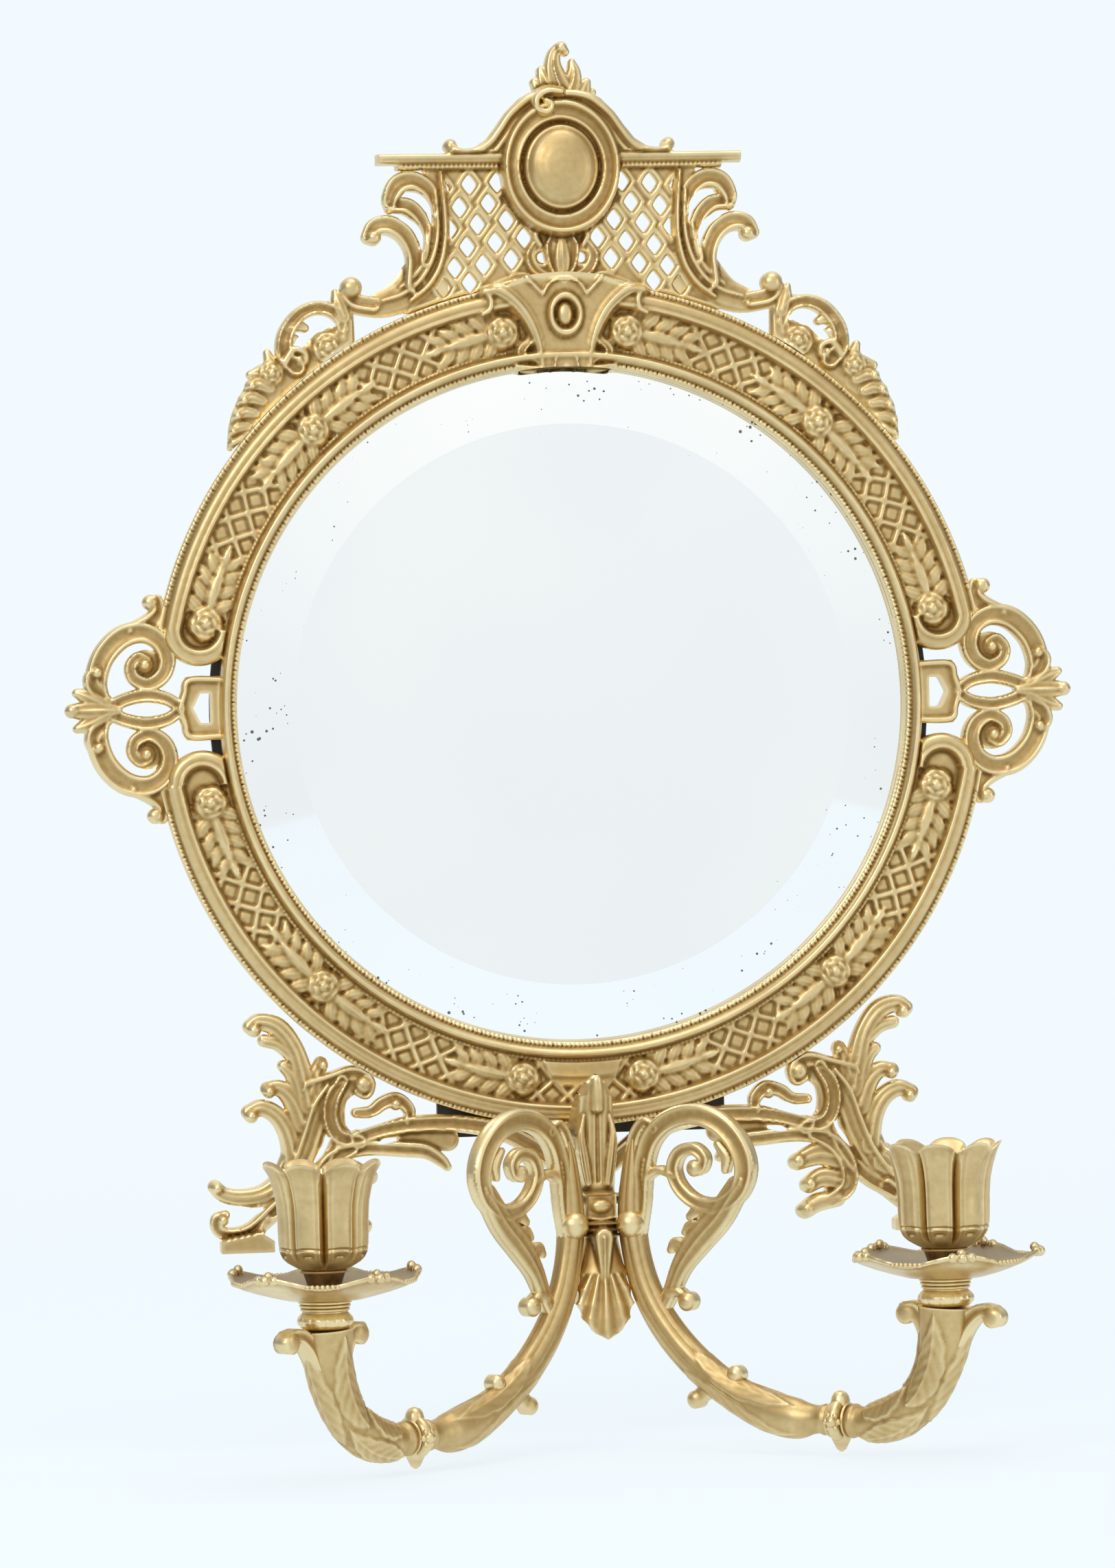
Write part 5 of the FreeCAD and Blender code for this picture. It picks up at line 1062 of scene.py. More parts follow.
def spine_relief():
    """Upright leaf in front of the base, with its frame, band and fan-shaped drop."""
    spine = Relief(np.arange(-11, 11.01, 0.32), np.arange(-220, -128.6, 0.4))
    x, z = spine.x, spine.z
    stations = np.array(SPINE_STATIONS)[::-1]
    half, back, front = (np.interp(z, stations[:, 0], stations[:, column]) for column in (1, 2, 3))
    # Serrated edge of the fan leaf
    half = half - np.where(z < -197, 0.9 * np.abs(np.sin((z + 197) * 0.62)) ** 0.7, 0)
    spine.cover = half - np.abs(x)
    across = np.clip(x / np.maximum(half, 0.3), -1, 1)
    crown = (front - back) / 2
    spine.height = back + crown + crown * 0.42 * dome(across) + crown * 0.58 * dome(across * 0.75)
    ridges = np.abs(x)
    # Veins of the upper sheath and of the fan leaf
    upper = z > -166
    veins = 0.3 * np.cos(np.clip(ridges, 0, 7) * 2.1) * (ridges > 0.8)
    fan = 0.6 * np.cos(np.arctan2(x, -(z + 188)) * 26) * (z < -197)
    spine.height += np.where(upper, veins, fan)
    slit = upper & (ridges < 0.7) & (z < -136)
    spine.height -= np.where(slit, 0.9, 0)
    # Frame with a cabochon
    across_frame = np.maximum(np.abs(x) / 5.8, np.abs(z + 174) / 4.6)
    spine.height = np.where(across_frame < 1, 41.6, spine.height)
    spine.height = np.where((across_frame < 1) & (across_frame > 0.8), 42.8, spine.height)
    stone = np.hypot(x / 3.6, (z + 174) / 2.4)
    spine.height = np.where(stone < 1, 41.6 + 2.0 * dome(np.minimum(stone, 1)), spine.height)
    # Fillets under it
    for middle, size, rise in ((-180.0, 0.7, 44.4), (-181.9, 0.7, 45.2), (-183.8, 0.6, 44.8)):
        near = np.abs(z - middle) / size
        spine.height = np.where((near < 1) & (half > np.abs(x)), np.maximum(spine.height, rise + 1.0 * dome(near)),
                                spine.height)
    spine.stroke([(0, -184.4, 7.2), (0, -192, 5.2), (0, -203, 2.4), (0, -207.6, 0.8)], 46.4, 4.0, "leaf", False)
    # Curled tip and side leaflets
    spine.stroke([(0, -140, 4.4), (0, -134, 5.0), (0, -130.4, 4.2)], 38.4, 2.8, "round", False)
    for side in (1, -1):
        leaflet = [(3.6, -166, 3.6), (4.8, -158, 4.2), (5.6, -150, 3.2), (4.6, -143, 1.4)]
        spine.stroke([(side * x, z, width) for x, z, width in leaflet], 36.4, 2.4, "leaf", False)
    spine.settle()
    return spine


def spine_back(_, z):
    """Back of the spine, read from its stations."""
    stations = np.array(SPINE_STATIONS)[::-1]
    return np.interp(z, stations[:, 0], stations[:, 2])


# ------------------------------------------------------------------ arms
ARM_TURN = math.radians(40)     # plan angle between an arm and the wall
ARM_ROOT = (9.0, 41.0)          # where an arm's plane starts: x and front
KNOP = (83.0, -245.5)           # middle of the collar, along the arm and up
CUP_S = 124.5                   # candle axis, along the arm
HORN_TOP, SEAT_LOW, PAN_LOW, STEM_LOW, CUP_LOW, CUP_TOP = -206.0, -200.0, -196.3, -193.0, -186.3, -150.7
BORE_R, BORE_FLOOR, FLARE_LOW = 11.2, -180.0, -158.0
PAN_LOBES = 5
PAN_TURNS = (("right", -51.0), ("left", -7.0))
PETALS = 8


def on_arm(part):
    """Turn a part drawn as (along the arm, out of its plane, up) to the right arm's place."""
    verts, faces = part
    along, out, up = np.asarray(verts, float).T
    return np.column_stack([ARM_ROOT[0] + along * math.cos(ARM_TURN) - out * math.sin(ARM_TURN),
                            ARM_ROOT[1] + along * math.sin(ARM_TURN) + out * math.cos(ARM_TURN), up]), faces


def swept(stations, sides, shape):
    """Tube through (along, up, half in the plane, half across) stations; shape(turn, share) scales it."""
    line = smooth(stations, 12)
    run = np.gradient(line[:, :2], axis=0)
    run /= np.linalg.norm(run, axis=1)[:, None]
    share = np.concatenate([[0], np.cumsum(np.linalg.norm(np.diff(line[:, :2], axis=0), axis=1))])[:, None]
    turn = np.linspace(0, 2 * math.pi, sides, endpoint=False)[None, :]
    scale = shape(turn, share / share[-1])
    off = line[:, 2:3] * np.cos(turn) * scale
    rings = np.stack([line[:, 0:1] - run[:, 1:2] * off, line[:, 3:4] * np.sin(turn) * scale,
                      line[:, 1:2] + run[:, 0:1] * off], -1)
    return capped(rings)


def turned(profile, sides=64, shape=None, middle=CUP_S):
    """Upright turning through (radius, height) points; shape(turn, height) adds to the radius."""
    rows = np.array(profile, float)
    turn = np.linspace(0, 2 * math.pi, sides, endpoint=False)[None, :]
    radius = np.repeat(rows[:, 0:1], sides, 1)
    if shape:
        radius = radius + shape(turn, rows[:, 1:2])
    rings = np.stack([middle + radius * np.cos(turn), radius * np.sin(turn),
                      np.repeat(rows[:, 1:2], sides, 1)], -1)
    return capped(rings)


def ball(along, out, up, radius, rows=9, sides=16):
    """Small ball."""
    lift = np.linspace(-math.pi / 2 + 0.12, math.pi / 2 - 0.12, rows)[:, None]
    turn = np.linspace(0, 2 * math.pi, sides, endpoint=False)[None, :]
    return capped(np.stack([along + radius * np.cos(lift) * np.cos(turn), out + radius * np.cos(lift) * np.sin(turn),
                            up + radius * np.sin(lift) + 0 * turn], -1))


def leaves_round(turn, share, count, start, stop, rise, first=0.0):
    """Pointed leaves that lie round a stem between two shares of its length: how far they stand up."""
    place = (share - start) / (stop - start)
    wide = np.clip(np.sin(math.pi * np.clip(place, 0, 1) ** 0.7), 0, 1) * (1 + 0.14 * np.abs(np.sin(place * 16)))
    off = np.abs((turn * count / (2 * math.pi) + first) % 1.0 - 0.5) * 2
    inside = np.clip((wide * 0.92 - off) / 0.16, 0, 1) * (place > 0) * (place < 1)
    rib = np.clip(1 - off / 0.12, 0, 1) * 0.35
    vein = 0.1 * np.cos((place * 7 + off * 1.6) * 2 * math.pi)
    return rise * inside * (0.8 + rib + vein)


STEM_STATIONS = (          # along, up, half in the plane of the arm, half across it
    (4.8, -146, 0.8, 0.8), (3.9, -152, 2.4, 2.4), (3.2, -160, 3.6, 3.6), (2.2, -176, 4.8, 4.8),
    (3.8, -191, 4.9, 4.6), (8.4, -205, 5.2, 4.8), (17, -218, 5.5, 5), (29, -229.5, 5.7, 5.2),
    (43, -238.4, 6.2, 5.6), (57, -243.8, 7.4, 6.6), (66, -245.6, 7.2, 6.6), (72, -245.6, 5.4, 5.2),
    (75, -245.5, 5.0, 5.0), (77.2, -245.5, 5.6, 5.6), (79.2, -245.5, 5.2, 5.2),
)
ARM_STROKES = (
    # volute arch and its spiral
    ([(5.6, -192, 1.2), (5.6, -182, 4.0), (6.6, -173, 5.4), (7.4, -163, 6), (10.0, -153, 6.4),
      (15.2, -146.6, 6.6), (22.6, -143, 6.6), (31, -142.6, 6.6),
      (39.6, -146, 6.8), (46, -152.8, 7), (48.4, -161, 6.8), (45.4, -168.8, 6), (38, -173.2, 5.2), (29, -172.6, 4.6),
      (22.4, -167.8, 4.6), (19.8, -161.4, 4.4), (22.2, -155.8, 4.2), (28, -154.2, 4), (32.0, -157.2, 3.6),
      (31.0, -161.0, 3.2), (28.2, -161.2, 2.8)], 1.5, 1.7, "band"),
    # narrow loop beside the spine
    ([(2.4, -172, 4.4), (3.2, -160, 4.4), (4.4, -151, 4), (8.2, -145.6, 3.8), (12.6, -147.4, 3.2)], 1.4, 1.6, "band"),
    ([(8.6, -164, 3.2), (14, -161.6, 2.8), (20.6, -163.6, 2.6)], 1.4, 1.4, "round"),
    ([(38, -152.6, 2.6), (41, -157, 3.4), (40.6, -161.4, 2.2)], 1.4, 1.5, "leaf"),
    # acanthus brace down to the stem
    ([(45, -167, 7.0), (37.8, -177.0, 8.6), (29.0, -185.8, 8.6), (22.4, -194, 6.6),
      (17.8, -203, 5), (13.6, -210, 4.6)],
     1.5, 1.7, "leaf"),
    ([(36, -176, 7), (30.4, -174.8, 4.6), (26.2, -177.4, 2.6)], 1.4, 1.6, "leaf"),
    ([(32.4, -182.4, 6), (26.6, -180.8, 3.8), (24.0, -182.8, 2.2)], 1.4, 1.5, "leaf"),
    ([(25, -189.6, 6), (20.4, -186.8, 4), (18.2, -189.0, 2.4)], 1.4, 1.5, "leaf"),
    ([(17, -204, 4), (20.6, -203.4, 3.2), (23.6, -205.4, 3)], 1.5, 1.5, "round"),
    # curls along the stem
    ([(36, -236.5, 5), (41.0, -232.6, 3.8), (42.6, -231.4, 3.4)], 1.5, 1.5, "round"),
    ([(36, -234, 6), (31, -237, 5.4), (27.6, -239.6, 4.4)], 1.5, 1.5, "round"),
)
HORN_STATIONS = ((86.7, -245.5, 5.2, 5.2), (88.4, -245.6, 5.9, 5.8), (91.0, -245.8, 5.2, 5.2), (96, -246.0, 6.6, 6.2),
                 (106, -243.0, 7.2, 6.6), (115, -236.2, 7.2, 6.6), (120.8, -226.4, 7.6, 7), (123.8, -215.6, 8.8, 7.8),
                 (CUP_S, HORN_TOP, 9.6, 9))
HORN_STROKES = (
    ([(119, -221, 5), (117.4, -213, 6.4), (113.6, -207.2, 5.2), (109.8, -206.6, 4.2)], 2.4, 1.6, "roll"),
    ([(129, -219, 5), (132.6, -211.6, 6), (138.0, -207.2, 4.8), (142.6, -207.2, 4.0)], 2.4, 1.6, "roll"),
)


def flutes(turn, share):
    """Stem: flutes from its root to the bulb, then leaves round the bulb."""
    fluted = 0.075 * np.abs(np.sin(turn * 4)) * np.clip((0.66 - share) / 0.05, 0, 1) * np.clip(share / 0.05, 0, 1)
    return 1 + fluted - 0.04 + leaves_round(turn, share, 4, 0.6, 0.93, 0.08)


def arm_relief():
    """Flat scrollwork of an arm, the same on both faces."""
    arm = Relief(np.arange(0, 54, 0.4), np.arange(-246, -138, 0.4))
    for rows, low, crown, section in ARM_STROKES:
        arm.stroke([(x, z, width * ARM_FULLER) for x, z, width in rows], low, crown, section)
    # Beads between the two lines of the arch
    line = smooth([(8.6, -168.0), (8.0, -163.2), (8.8, -158.4)], 3)
    for x, z in list(line) + list(smooth([(41.6, -171.6), (44.8, -168.4), (47.2, -164.6)], 3)):
        arm.boss(x, z, 0.95, 1.9, 1.0, False)
    for x, z, radius in ((28.6, -160.8, 2.9), (24.4, -206.6, 3.3), (42.8, -231.2, 3.1), (26.8, -240.2, 3.1)):
        arm.boss(x, z, radius, 1.6, radius * 0.75)
    arm.settle()
    return arm


def horn_relief():
    """Two rolled leaves at the top of the horn."""
    horn = Relief(np.arange(105, 149, 0.4), np.arange(-224, -203, 0.4))
    for rows, low, crown, section in HORN_STROKES:
        horn.stroke(rows, low, crown, section)
    for x, z, radius in ((110.2, -208.6, 3.5), (143.0, -209.3, 3.4)):
        horn.boss(x, z, radius, 2.6, 1.4)
    horn.cover = np.minimum(horn.cover, HORN_TOP + 1.6 - horn.z)
    horn.settle()
    return horn


def collar_parts():
    """Collar between the two halves of an arm: moulded drum, bud above, point below, rosette on each face."""
    profile = ((5.2, -3.7), (5.9, -3.6), (6.1, -3.1), (5.7, -2.6), (5.6, -2.3), (6.6, -1.9), (7.3, -1.0), (7.5, 0),
               (7.3, 1.0), (6.6, 1.9), (5.6, 2.3), (5.7, 2.6), (6.1, 3.1), (5.9, 3.6), (5.2, 3.7))
    drum, faces = turned(profile, 48, None, 0.0)
    parts = [(np.column_stack([KNOP[0] + drum[:, 2], drum[:, 1], KNOP[1] + drum[:, 0]]), faces)]
    parts.append(turned(((0.5, KNOP[1] - 10.6), (1.6, KNOP[1] - 9.8), (2.5, KNOP[1] - 8.0), (3.3, KNOP[1] - 6.4),
                         (3.5, KNOP[1] - 4.6)), 24, None, KNOP[0]))
    parts.append(turned(((3.4, KNOP[1] + 5.0), (3.3, KNOP[1] + 6.6), (2.9, KNOP[1] + 8.2), (2.1, KNOP[1] + 9.4),
                         (0.7, KNOP[1] + 10.0)), 24, None, KNOP[0]))
    for side in (1, -1):
        parts.append(ball(KNOP[0], side * 6.6, KNOP[1], 2.0))
        for turn in range(6):
            angle = turn * math.pi / 3
            along, up = KNOP[0] + 2.4 * math.cos(angle), KNOP[1] + 2.4 * math.sin(angle)
            parts.append(ball(along, side * 6.2, up, 1.1, 7, 10))
    return parts


# ------------------------------------------------------------------ candle cup, pan and what carries them
def eggs(turn, height):
    """Egg-shaped bosses round the neck."""
    return 0.5 * np.abs(np.cos(turn * 6)) ** 0.6 * np.sin(np.clip((height - HORN_TOP) / 5.4, 0, 1) * math.pi)


def neck_part():
    """Collar of eggs between a horn and the mouldings under its pan."""
    return turned(((6.6, HORN_TOP), (7.4, HORN_TOP + 0.2), (8.2, HORN_TOP + 1.0), (8.9, HORN_TOP + 2.0),
                   (9.1, HORN_TOP + 3.0), (8.9, HORN_TOP + 4.0), (8.2, HORN_TOP + 5.0), (7.6, HORN_TOP + 5.6),
                   (7.6, SEAT_LOW)), 96, eggs)


def seat_part():
    """Three thin mouldings under the pan."""
    profile = [(7.6, SEAT_LOW)]
    for low, size in ((0.1, 8.3), (1.3, 8.6), (2.5, 8.9)):
        profile += [(size - 0.7, SEAT_LOW + low), (size - 0.1, SEAT_LOW + low + 0.3), (size, SEAT_LOW + low + 0.6),
                    (size - 0.1, SEAT_LOW + low + 0.9), (size - 0.7, SEAT_LOW + low + 1.15)]
    return turned(profile + [(8.4, PAN_LOW)], 64)


def pan_parts(turn_degrees):
    """Shallow pan with a wavy rim: lobes turned up, each with a cluster of beads."""
    sides = 160
    turn = np.linspace(0, 2 * math.pi, sides, endpoint=False)
    local = turn - math.radians(turn_degrees)
    swing = np.cos(PAN_LOBES * local)
    rim_z = PAN_LOW + 7.0
    small = 0.25 * np.abs(np.sin(PAN_LOBES * 4 * local))
    rows = ((9.4, PAN_LOW, 0, 0), (13, PAN_LOW + 0.3, 0, 0), (18, PAN_LOW + 1.6, 0.1, 0.1),
            (23, PAN_LOW + 3.2, 0.3, 0.4),
            (28, PAN_LOW + 5.2, 0.7, 0.9), (30.2, rim_z - 0.4, 1.1, 1.4), (31.0, rim_z - 0.1, 1.3, 1.6),
            (31.2, rim_z + 0.6, 1.3, 1.6), (30.9, rim_z + 1.2, 1.3, 1.6), (30.2, rim_z + 1.2, 1.2, 1.5),
            (29.6, rim_z + 0.6, 1.1, 1.4), (28, PAN_LOW + 6.4, 0.7, 0.9), (23, PAN_LOW + 4.9, 0.3, 0.4),
            (18, PAN_LOW + 3.7, 0.1, 0.1), (13, PAN_LOW + 3.2, 0, 0), (8.4, PAN_LOW + 3.3, 0, 0))
    rings = []
    for radius, height, wave, lift in rows:
        reach = radius + wave * (swing + small)
        rings.append(np.column_stack([CUP_S + reach * np.cos(turn), reach * -np.sin(turn), height + lift * swing]))
    verts, faces = capped(rings)
    parts = [(verts, faces)]
    for lobe in range(PAN_LOBES):
        middle = math.radians(turn_degrees) + 2 * math.pi * lobe / PAN_LOBES
        for off, radius, lift, size in ((0.0, 32.0, 1.6, 1.8), (0.1, 31.3, 1.7, 1.7), (-0.1, 31.3, 1.7, 1.7),
                                        (0.0, 30.2, 3.0, 1.6)):
            angle = middle + off
            parts.append(ball(CUP_S + radius * math.cos(angle), -radius * math.sin(angle), rim_z + lift, size, 8, 14))
        # Low corner with a short run of beads, halfway between two lobes
        for step in range(-3, 4):
            angle = middle + math.pi / PAN_LOBES + step * 0.055
            parts.append(ball(CUP_S + 30.2 * math.cos(angle), -30.2 * math.sin(angle), rim_z - 0.6, 0.9, 6, 10))
    return parts


def stem_part():
    """Dark tapered neck under the cup."""
    return turned(((5.4, STEM_LOW), (5.8, STEM_LOW + 0.2), (5.8, STEM_LOW + 1.8), (6.2, STEM_LOW + 3.4),
                   (6.8, CUP_LOW - 1.6), (6.9, CUP_LOW - 1.1), (6.9, CUP_LOW - 0.9)), 48)


def flange_part():
    """Bright ring between neck and cup."""
    return turned(((6.8, CUP_LOW - 1.0), (7.5, CUP_LOW - 0.95), (8.0, CUP_LOW - 0.6), (8.0, CUP_LOW - 0.2),
                   (7.6, CUP_LOW)), 48)


def cup_part():
    """Tulip of eight petals, each with a raised panel and a rolled tip, round the candle's socket."""
    sides = PETALS * 24
    turn = np.linspace(0, 2 * math.pi, sides, endpoint=False)
    petal = (turn * PETALS / (2 * math.pi)) % 1.0 * 2 - 1
    top = CUP_TOP - 3.4 * np.abs(petal) ** 2.4
    profile = np.array(((0.0, 7.6), (0.03, 9.4), (0.07, 11.6), (0.12, 13.2), (0.17, 14.1), (0.2, 14.4), (0.215, 14.1),
                        (0.23, 14.5), (0.35, 14.7), (0.5, 14.8), (0.65, 15.2), (0.78, 16.2), (0.88, 17.4),
                        (0.95, 18.8), (1.0, 20.2)))
    groove = np.exp(-((1 - np.abs(petal)) / 0.13) ** 2)
    panel = np.clip((0.62 - np.abs(petal)) / 0.08, 0, 1) + 0.7 * np.exp(-((np.abs(petal) - 0.72) / 0.06) ** 2)
    rings = []
    for share in np.concatenate([np.linspace(0, 0.2, 9), np.linspace(0.207, 0.24, 5), np.linspace(0.28, 1, 22)]):
        radius = np.interp(share, profile[:, 0], profile[:, 1])
        fade = np.clip(share / 0.1, 0, 1)
        arch = 0.9 * np.exp(-((share - 0.115 - 0.03 * (1 - petal ** 2)) / 0.018) ** 2) * (np.abs(petal) < 0.36)
        reach = radius * (1 - 0.035 * petal ** 2 * (1 + share)) - 2.1 * groove * fade \
            + 0.75 * panel * fade * np.clip((1 - share) / 0.15, 0, 1) - arch
        rings.append(np.column_stack([reach, CUP_LOW + share * (top - CUP_LOW)]))
    edge_r = rings[-1][:, 0]
    for inset, drop in ((0.5, -0.15), (1.2, 0.1), (2.2, 1.2)):
        rings.append(np.column_stack([edge_r - inset, top - drop]))
    for share in (0.3, 0.6, 0.85):
        inner = edge_r - 2.6
        rings.append(np.column_stack([inner + (BORE_R + 0.6 - inner) * share,
                                      top - 1.8 + (FLARE_LOW - top + 1.8) * share]))
    for radius, height in ((BORE_R + 0.3, FLARE_LOW + 0.3), (BORE_R, FLARE_LOW), (BORE_R, BORE_FLOOR)):
        rings.append(np.column_stack([np.full(sides, radius), np.full(sides, height)]))
    return capped([np.column_stack([CUP_S + ring[:, 0] * np.cos(turn), ring[:, 0] * -np.sin(turn), ring[:, 1]])
                   for ring in rings])


# ------------------------------------------------------------------ operators
class GIRANDOLE_OT_stage(bpy.types.Operator):
    """Floor, pale room, soft light and camera"""
    bl_idname = "girandole.stage"
    bl_label = "Stage"

    def execute(self, context):
        sizes = context.scene.girandole_stage
        self.floor(sizes)
        self.room(context.scene, sizes)
        self.lamps(sizes)
        self.camera(context.scene, sizes)
        context.scene.view_settings.view_transform = "Standard"
        return {"FINISHED"}

    def floor(self, sizes):
        """Paper floor just under the object, which fades into the white room round it."""
        low = CAD_BOX[0][2] - FLOOR_GAP
        corners = ((-1, -1), (1, -1), (1, 1), (-1, 1))
        mesh = bpy.data.meshes.new("paper_floor")
        mesh.from_pydata([(x * FLOOR_REACH, y * FLOOR_REACH, low) for x, y in corners], [], [(0, 1, 2, 3)])
        floor = bpy.data.objects.new("paper_floor", mesh)
        bpy.context.scene.collection.objects.link(floor)
        # Matt paper: white where it is seen or mirrored, with a faint shadow, and plain paper as light
        paper = (*sizes.paper, 1)
        shadow_paper = (*[0.22 * channel for channel in sizes.paper], 1)
        material, tree, shader, place = surface("background_paper", Roughness=0.9)
        feed(tree, shader, {"Base Color": paper})
        rays = add(tree, "LightPath").outputs
        seen = add(tree, "Math", (rays["Is Camera Ray"], rays["Is Glossy Ray"]), operation="MAXIMUM")
        seen = add(tree, "Math", (seen, rays["Is Transmission Ray"]), operation="MAXIMUM")
        bright = add(tree, "Emission", {"Color": paper, "Strength": 0.82})
        dim = add(tree, "BsdfDiffuse", {"Color": shadow_paper})
        away = add(tree, "VectorMath", (place,), operation="LENGTH").outputs["Value"]
        fade = add(tree, "MapRange", (away, 0.7, 1.7, 0.0, 1.0))
        white = add(tree, "Emission", {"Color": paper, "Strength": 1.0})
        faded = add(tree, "MixShader", (fade, add(tree, "AddShader", (bright, dim)), white))
        mixed = add(tree, "MixShader", (seen, shader, faded))
        feed(tree, tree.nodes["Material Output"], {"Surface": mixed})
        mesh.materials.append(material)

    def room(self, scene, sizes):
        """Pale room: white to the camera, shaded from above to below where metal mirrors it."""
        world = bpy.data.worlds.new("pale_room")
        scene.world = world
        world.use_nodes = True
        tree = world.node_tree
        rays = add(tree, "LightPath").outputs
        seen = add(tree, "Math", (rays["Is Camera Ray"], rays["Is Transmission Ray"]), operation="MAXIMUM")
        place = add(tree, "SeparateXYZ", (add(tree, "TexCoord").outputs["Generated"],)).outputs
        rise = add(tree, "MapRange", (place["Z"], -1.0, 1.0, 0.0, 1.0))
        tone = add(tree, "ValToRGB", (rise,), [(0.1, linear("#8F897F")), (0.38, linear("#DDE1E2")),
                                               (0.47, linear("#EEF2F4")), (0.53, linear("#F2F6F7")),
                                               (0.62, linear("#FDFFFE"))])
        aside = add(tree, "Math", (place["X"],), operation="ABSOLUTE")
        dimmer = add(tree, "MapRange", (aside, 0.35, 0.95, 1.0, 0.35))
        tone = add(tree, "Mix", {0: 1.0, 6: tone, 7: dimmer}, data_type="RGBA", blend_type="MULTIPLY").outputs[2]
        paper = (*sizes.paper, 1)
        mirrored_room = add(tree, "Background", (tone, 1.0))
        light = add(tree, "Background", (paper, sizes.room))
        white = add(tree, "Background", (paper, 1.0))
        lit = add(tree, "MixShader", (rays["Is Glossy Ray"], light, mirrored_room))
        feed(tree, tree.nodes["World Output"], {"Surface": add(tree, "MixShader", (seen, lit, white))})

    def lamps(self, sizes):
        """Softboxes: a large one up and left, a tall one to the right, one overhead."""
        middle = Vector((0, -0.03, (CAD_BOX[0][2] + CAD_BOX[1][2]) / 2))
        for name, place, width, height, share in (
                ("key_softbox", (-1.0, -1.3, 0.9), 0.9, 0.9, 1.0),
                ("fill_softbox", (1.5, -0.9, 0.2), 0.5, 1.2, 0.4),
                ("top_softbox", (0.1, -0.35, 1.6), 1.0, 0.7, 0.6)):
            lamp = bpy.data.lights.new(name, "AREA")
            lamp.shape = "RECTANGLE"
            lamp.size, lamp.size_y = width, height
            lamp.energy = sizes.softbox * share
            lamp.color = LAMP_WHITE
            holder = bpy.data.objects.new(name, lamp)
            bpy.context.scene.collection.objects.link(holder)
            holder.location = middle + Vector(place)
            holder.rotation_euler = (-Vector(place)).to_track_quat("-Z", "Y").to_euler()

    def camera(self, scene, sizes):
        """Camera of the photograph: a long lens, a little to the left and a little rolled."""
        lens = bpy.data.cameras.new("camera")
        lens.sensor_fit = "VERTICAL"
        lens.sensor_height = SENSOR
        lens.lens = SENSOR * FOCAL_PIXELS / PHOTO_HEIGHT
        lens.clip_start = 0.05
        holder = bpy.data.objects.new("camera", lens)
        scene.collection.objects.link(holder)
        back = Vector((-math.sin(sizes.yaw), -math.cos(sizes.yaw), 0))
        right = Vector((math.cos(sizes.yaw), -math.sin(sizes.yaw), 0))
        up = Vector((0, 0, 1))
        across = right * math.cos(sizes.roll) - up * math.sin(sizes.roll)
        upright = right * math.sin(sizes.roll) + up * math.cos(sizes.roll)
        turned = Matrix((across, upright, back)).transposed().to_4x4()
        turned.translation = Vector(metres([AIM])[0]) + back * sizes.distance
        holder.matrix_world = turned
        scene.camera = holder


class GIRANDOLE_OT_hidden_metal(bpy.types.Operator):
    """Finishes of the CAD pieces that keep their own shape: glass, board, strap, plate and fasteners"""
    bl_idname = "girandole.hidden_metal"
    bl_label = "Glass, board and fittings"

    def execute(self, context):
        give(old_mirror("silvered_plate_glass"), "mirror_glass")
        give(black_paint("black_painted_board", 0.6), "backboard")
        give(black_paint("black_japanned_iron"), "rear_strap")
        give(plain_metal("dull_steel", "#9A948A", "#5E5850", 0.42), "crest_screws", "strap_screws",
             "turn_button_screws", "spine_bolts", "arm_cross_stud", "arm_studs", "cup_studs", "cup_nuts",
             "hanging_rivets")
        give(plain_metal("rolled_brass", "#C9A45C", "#8C6A34", 0.36), "hanging_plate",
             *[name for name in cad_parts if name.startswith("turn_button_") and name != "turn_button_screws"])
        return {"FINISHED"}


class GIRANDOLE_OT_ring(bpy.types.Operator):
    """Cast ring round the mirror, with trellis, rose sprays, beads and keystone, and its two ears"""
    bl_idname = "girandole.ring"
    bl_label = "Ring and ears"

    def execute(self, context):
        colours = context.scene.girandole_gilt
        finish = gilt_brass("fire_gilt_brass", colours)
        half = ring_relief(colours)
        middle = len(half.across) // 2
        upper = casting(half.doubled(0, 0, middle + 1), roll_up, ring_back)
        lower = casting(half.doubled(0, middle, None, True), roll_up, ring_back)
        bosses = [rod(x, z, 3.0, -3.0, 3.3) for x, z in button_places()]
        bosses += [rod(side * x, z, 4.0, 0.0, 3.3) for side in (1, -1) for x, z in RING_SCREWS]
        ear = casting(ear_relief(), lift_ear)
        piece("ring_upper", [upper], finish, ["ring_frame"])
        piece("ring_lower", [lower], finish, ["ring_frame"])
        piece("ring_bosses", bosses, finish, ["ring_frame"])
        piece("ear_right", [ear], finish, ["ring_frame"])
        piece("ear_left", [mirrored(ear)], finish, ["ring_frame"])
        return {"FINISHED"}


class GIRANDOLE_OT_crest(bpy.types.Operator):
    """Crest: lattice, curling leaves, oval boss, hood, bar and leaf finial"""
    bl_idname = "girandole.crest"
    bl_label = "Crest"

    def execute(self, context):
        finish = gilt_brass("crest_gilding", context.scene.girandole_gilt)
        tabs = [block(side * 46.0, 138.5, 6.0, 11.5, -3.0, 0.5) for side in (1, -1)]
        standoffs = [rod(side * 17.0, -CENTRE_Z, 4.0, -4.5, 1.0) for side in (1, -1)]
        piece("crest_casting", [casting(crest_relief())], finish, ["crest"])
        piece("crest_finial", [casting(finial_relief(), back=1.0)], finish, ["crest"])
        piece("crest_back_fixings", tabs + standoffs, finish, ["crest"])
        return {"FINISHED"}


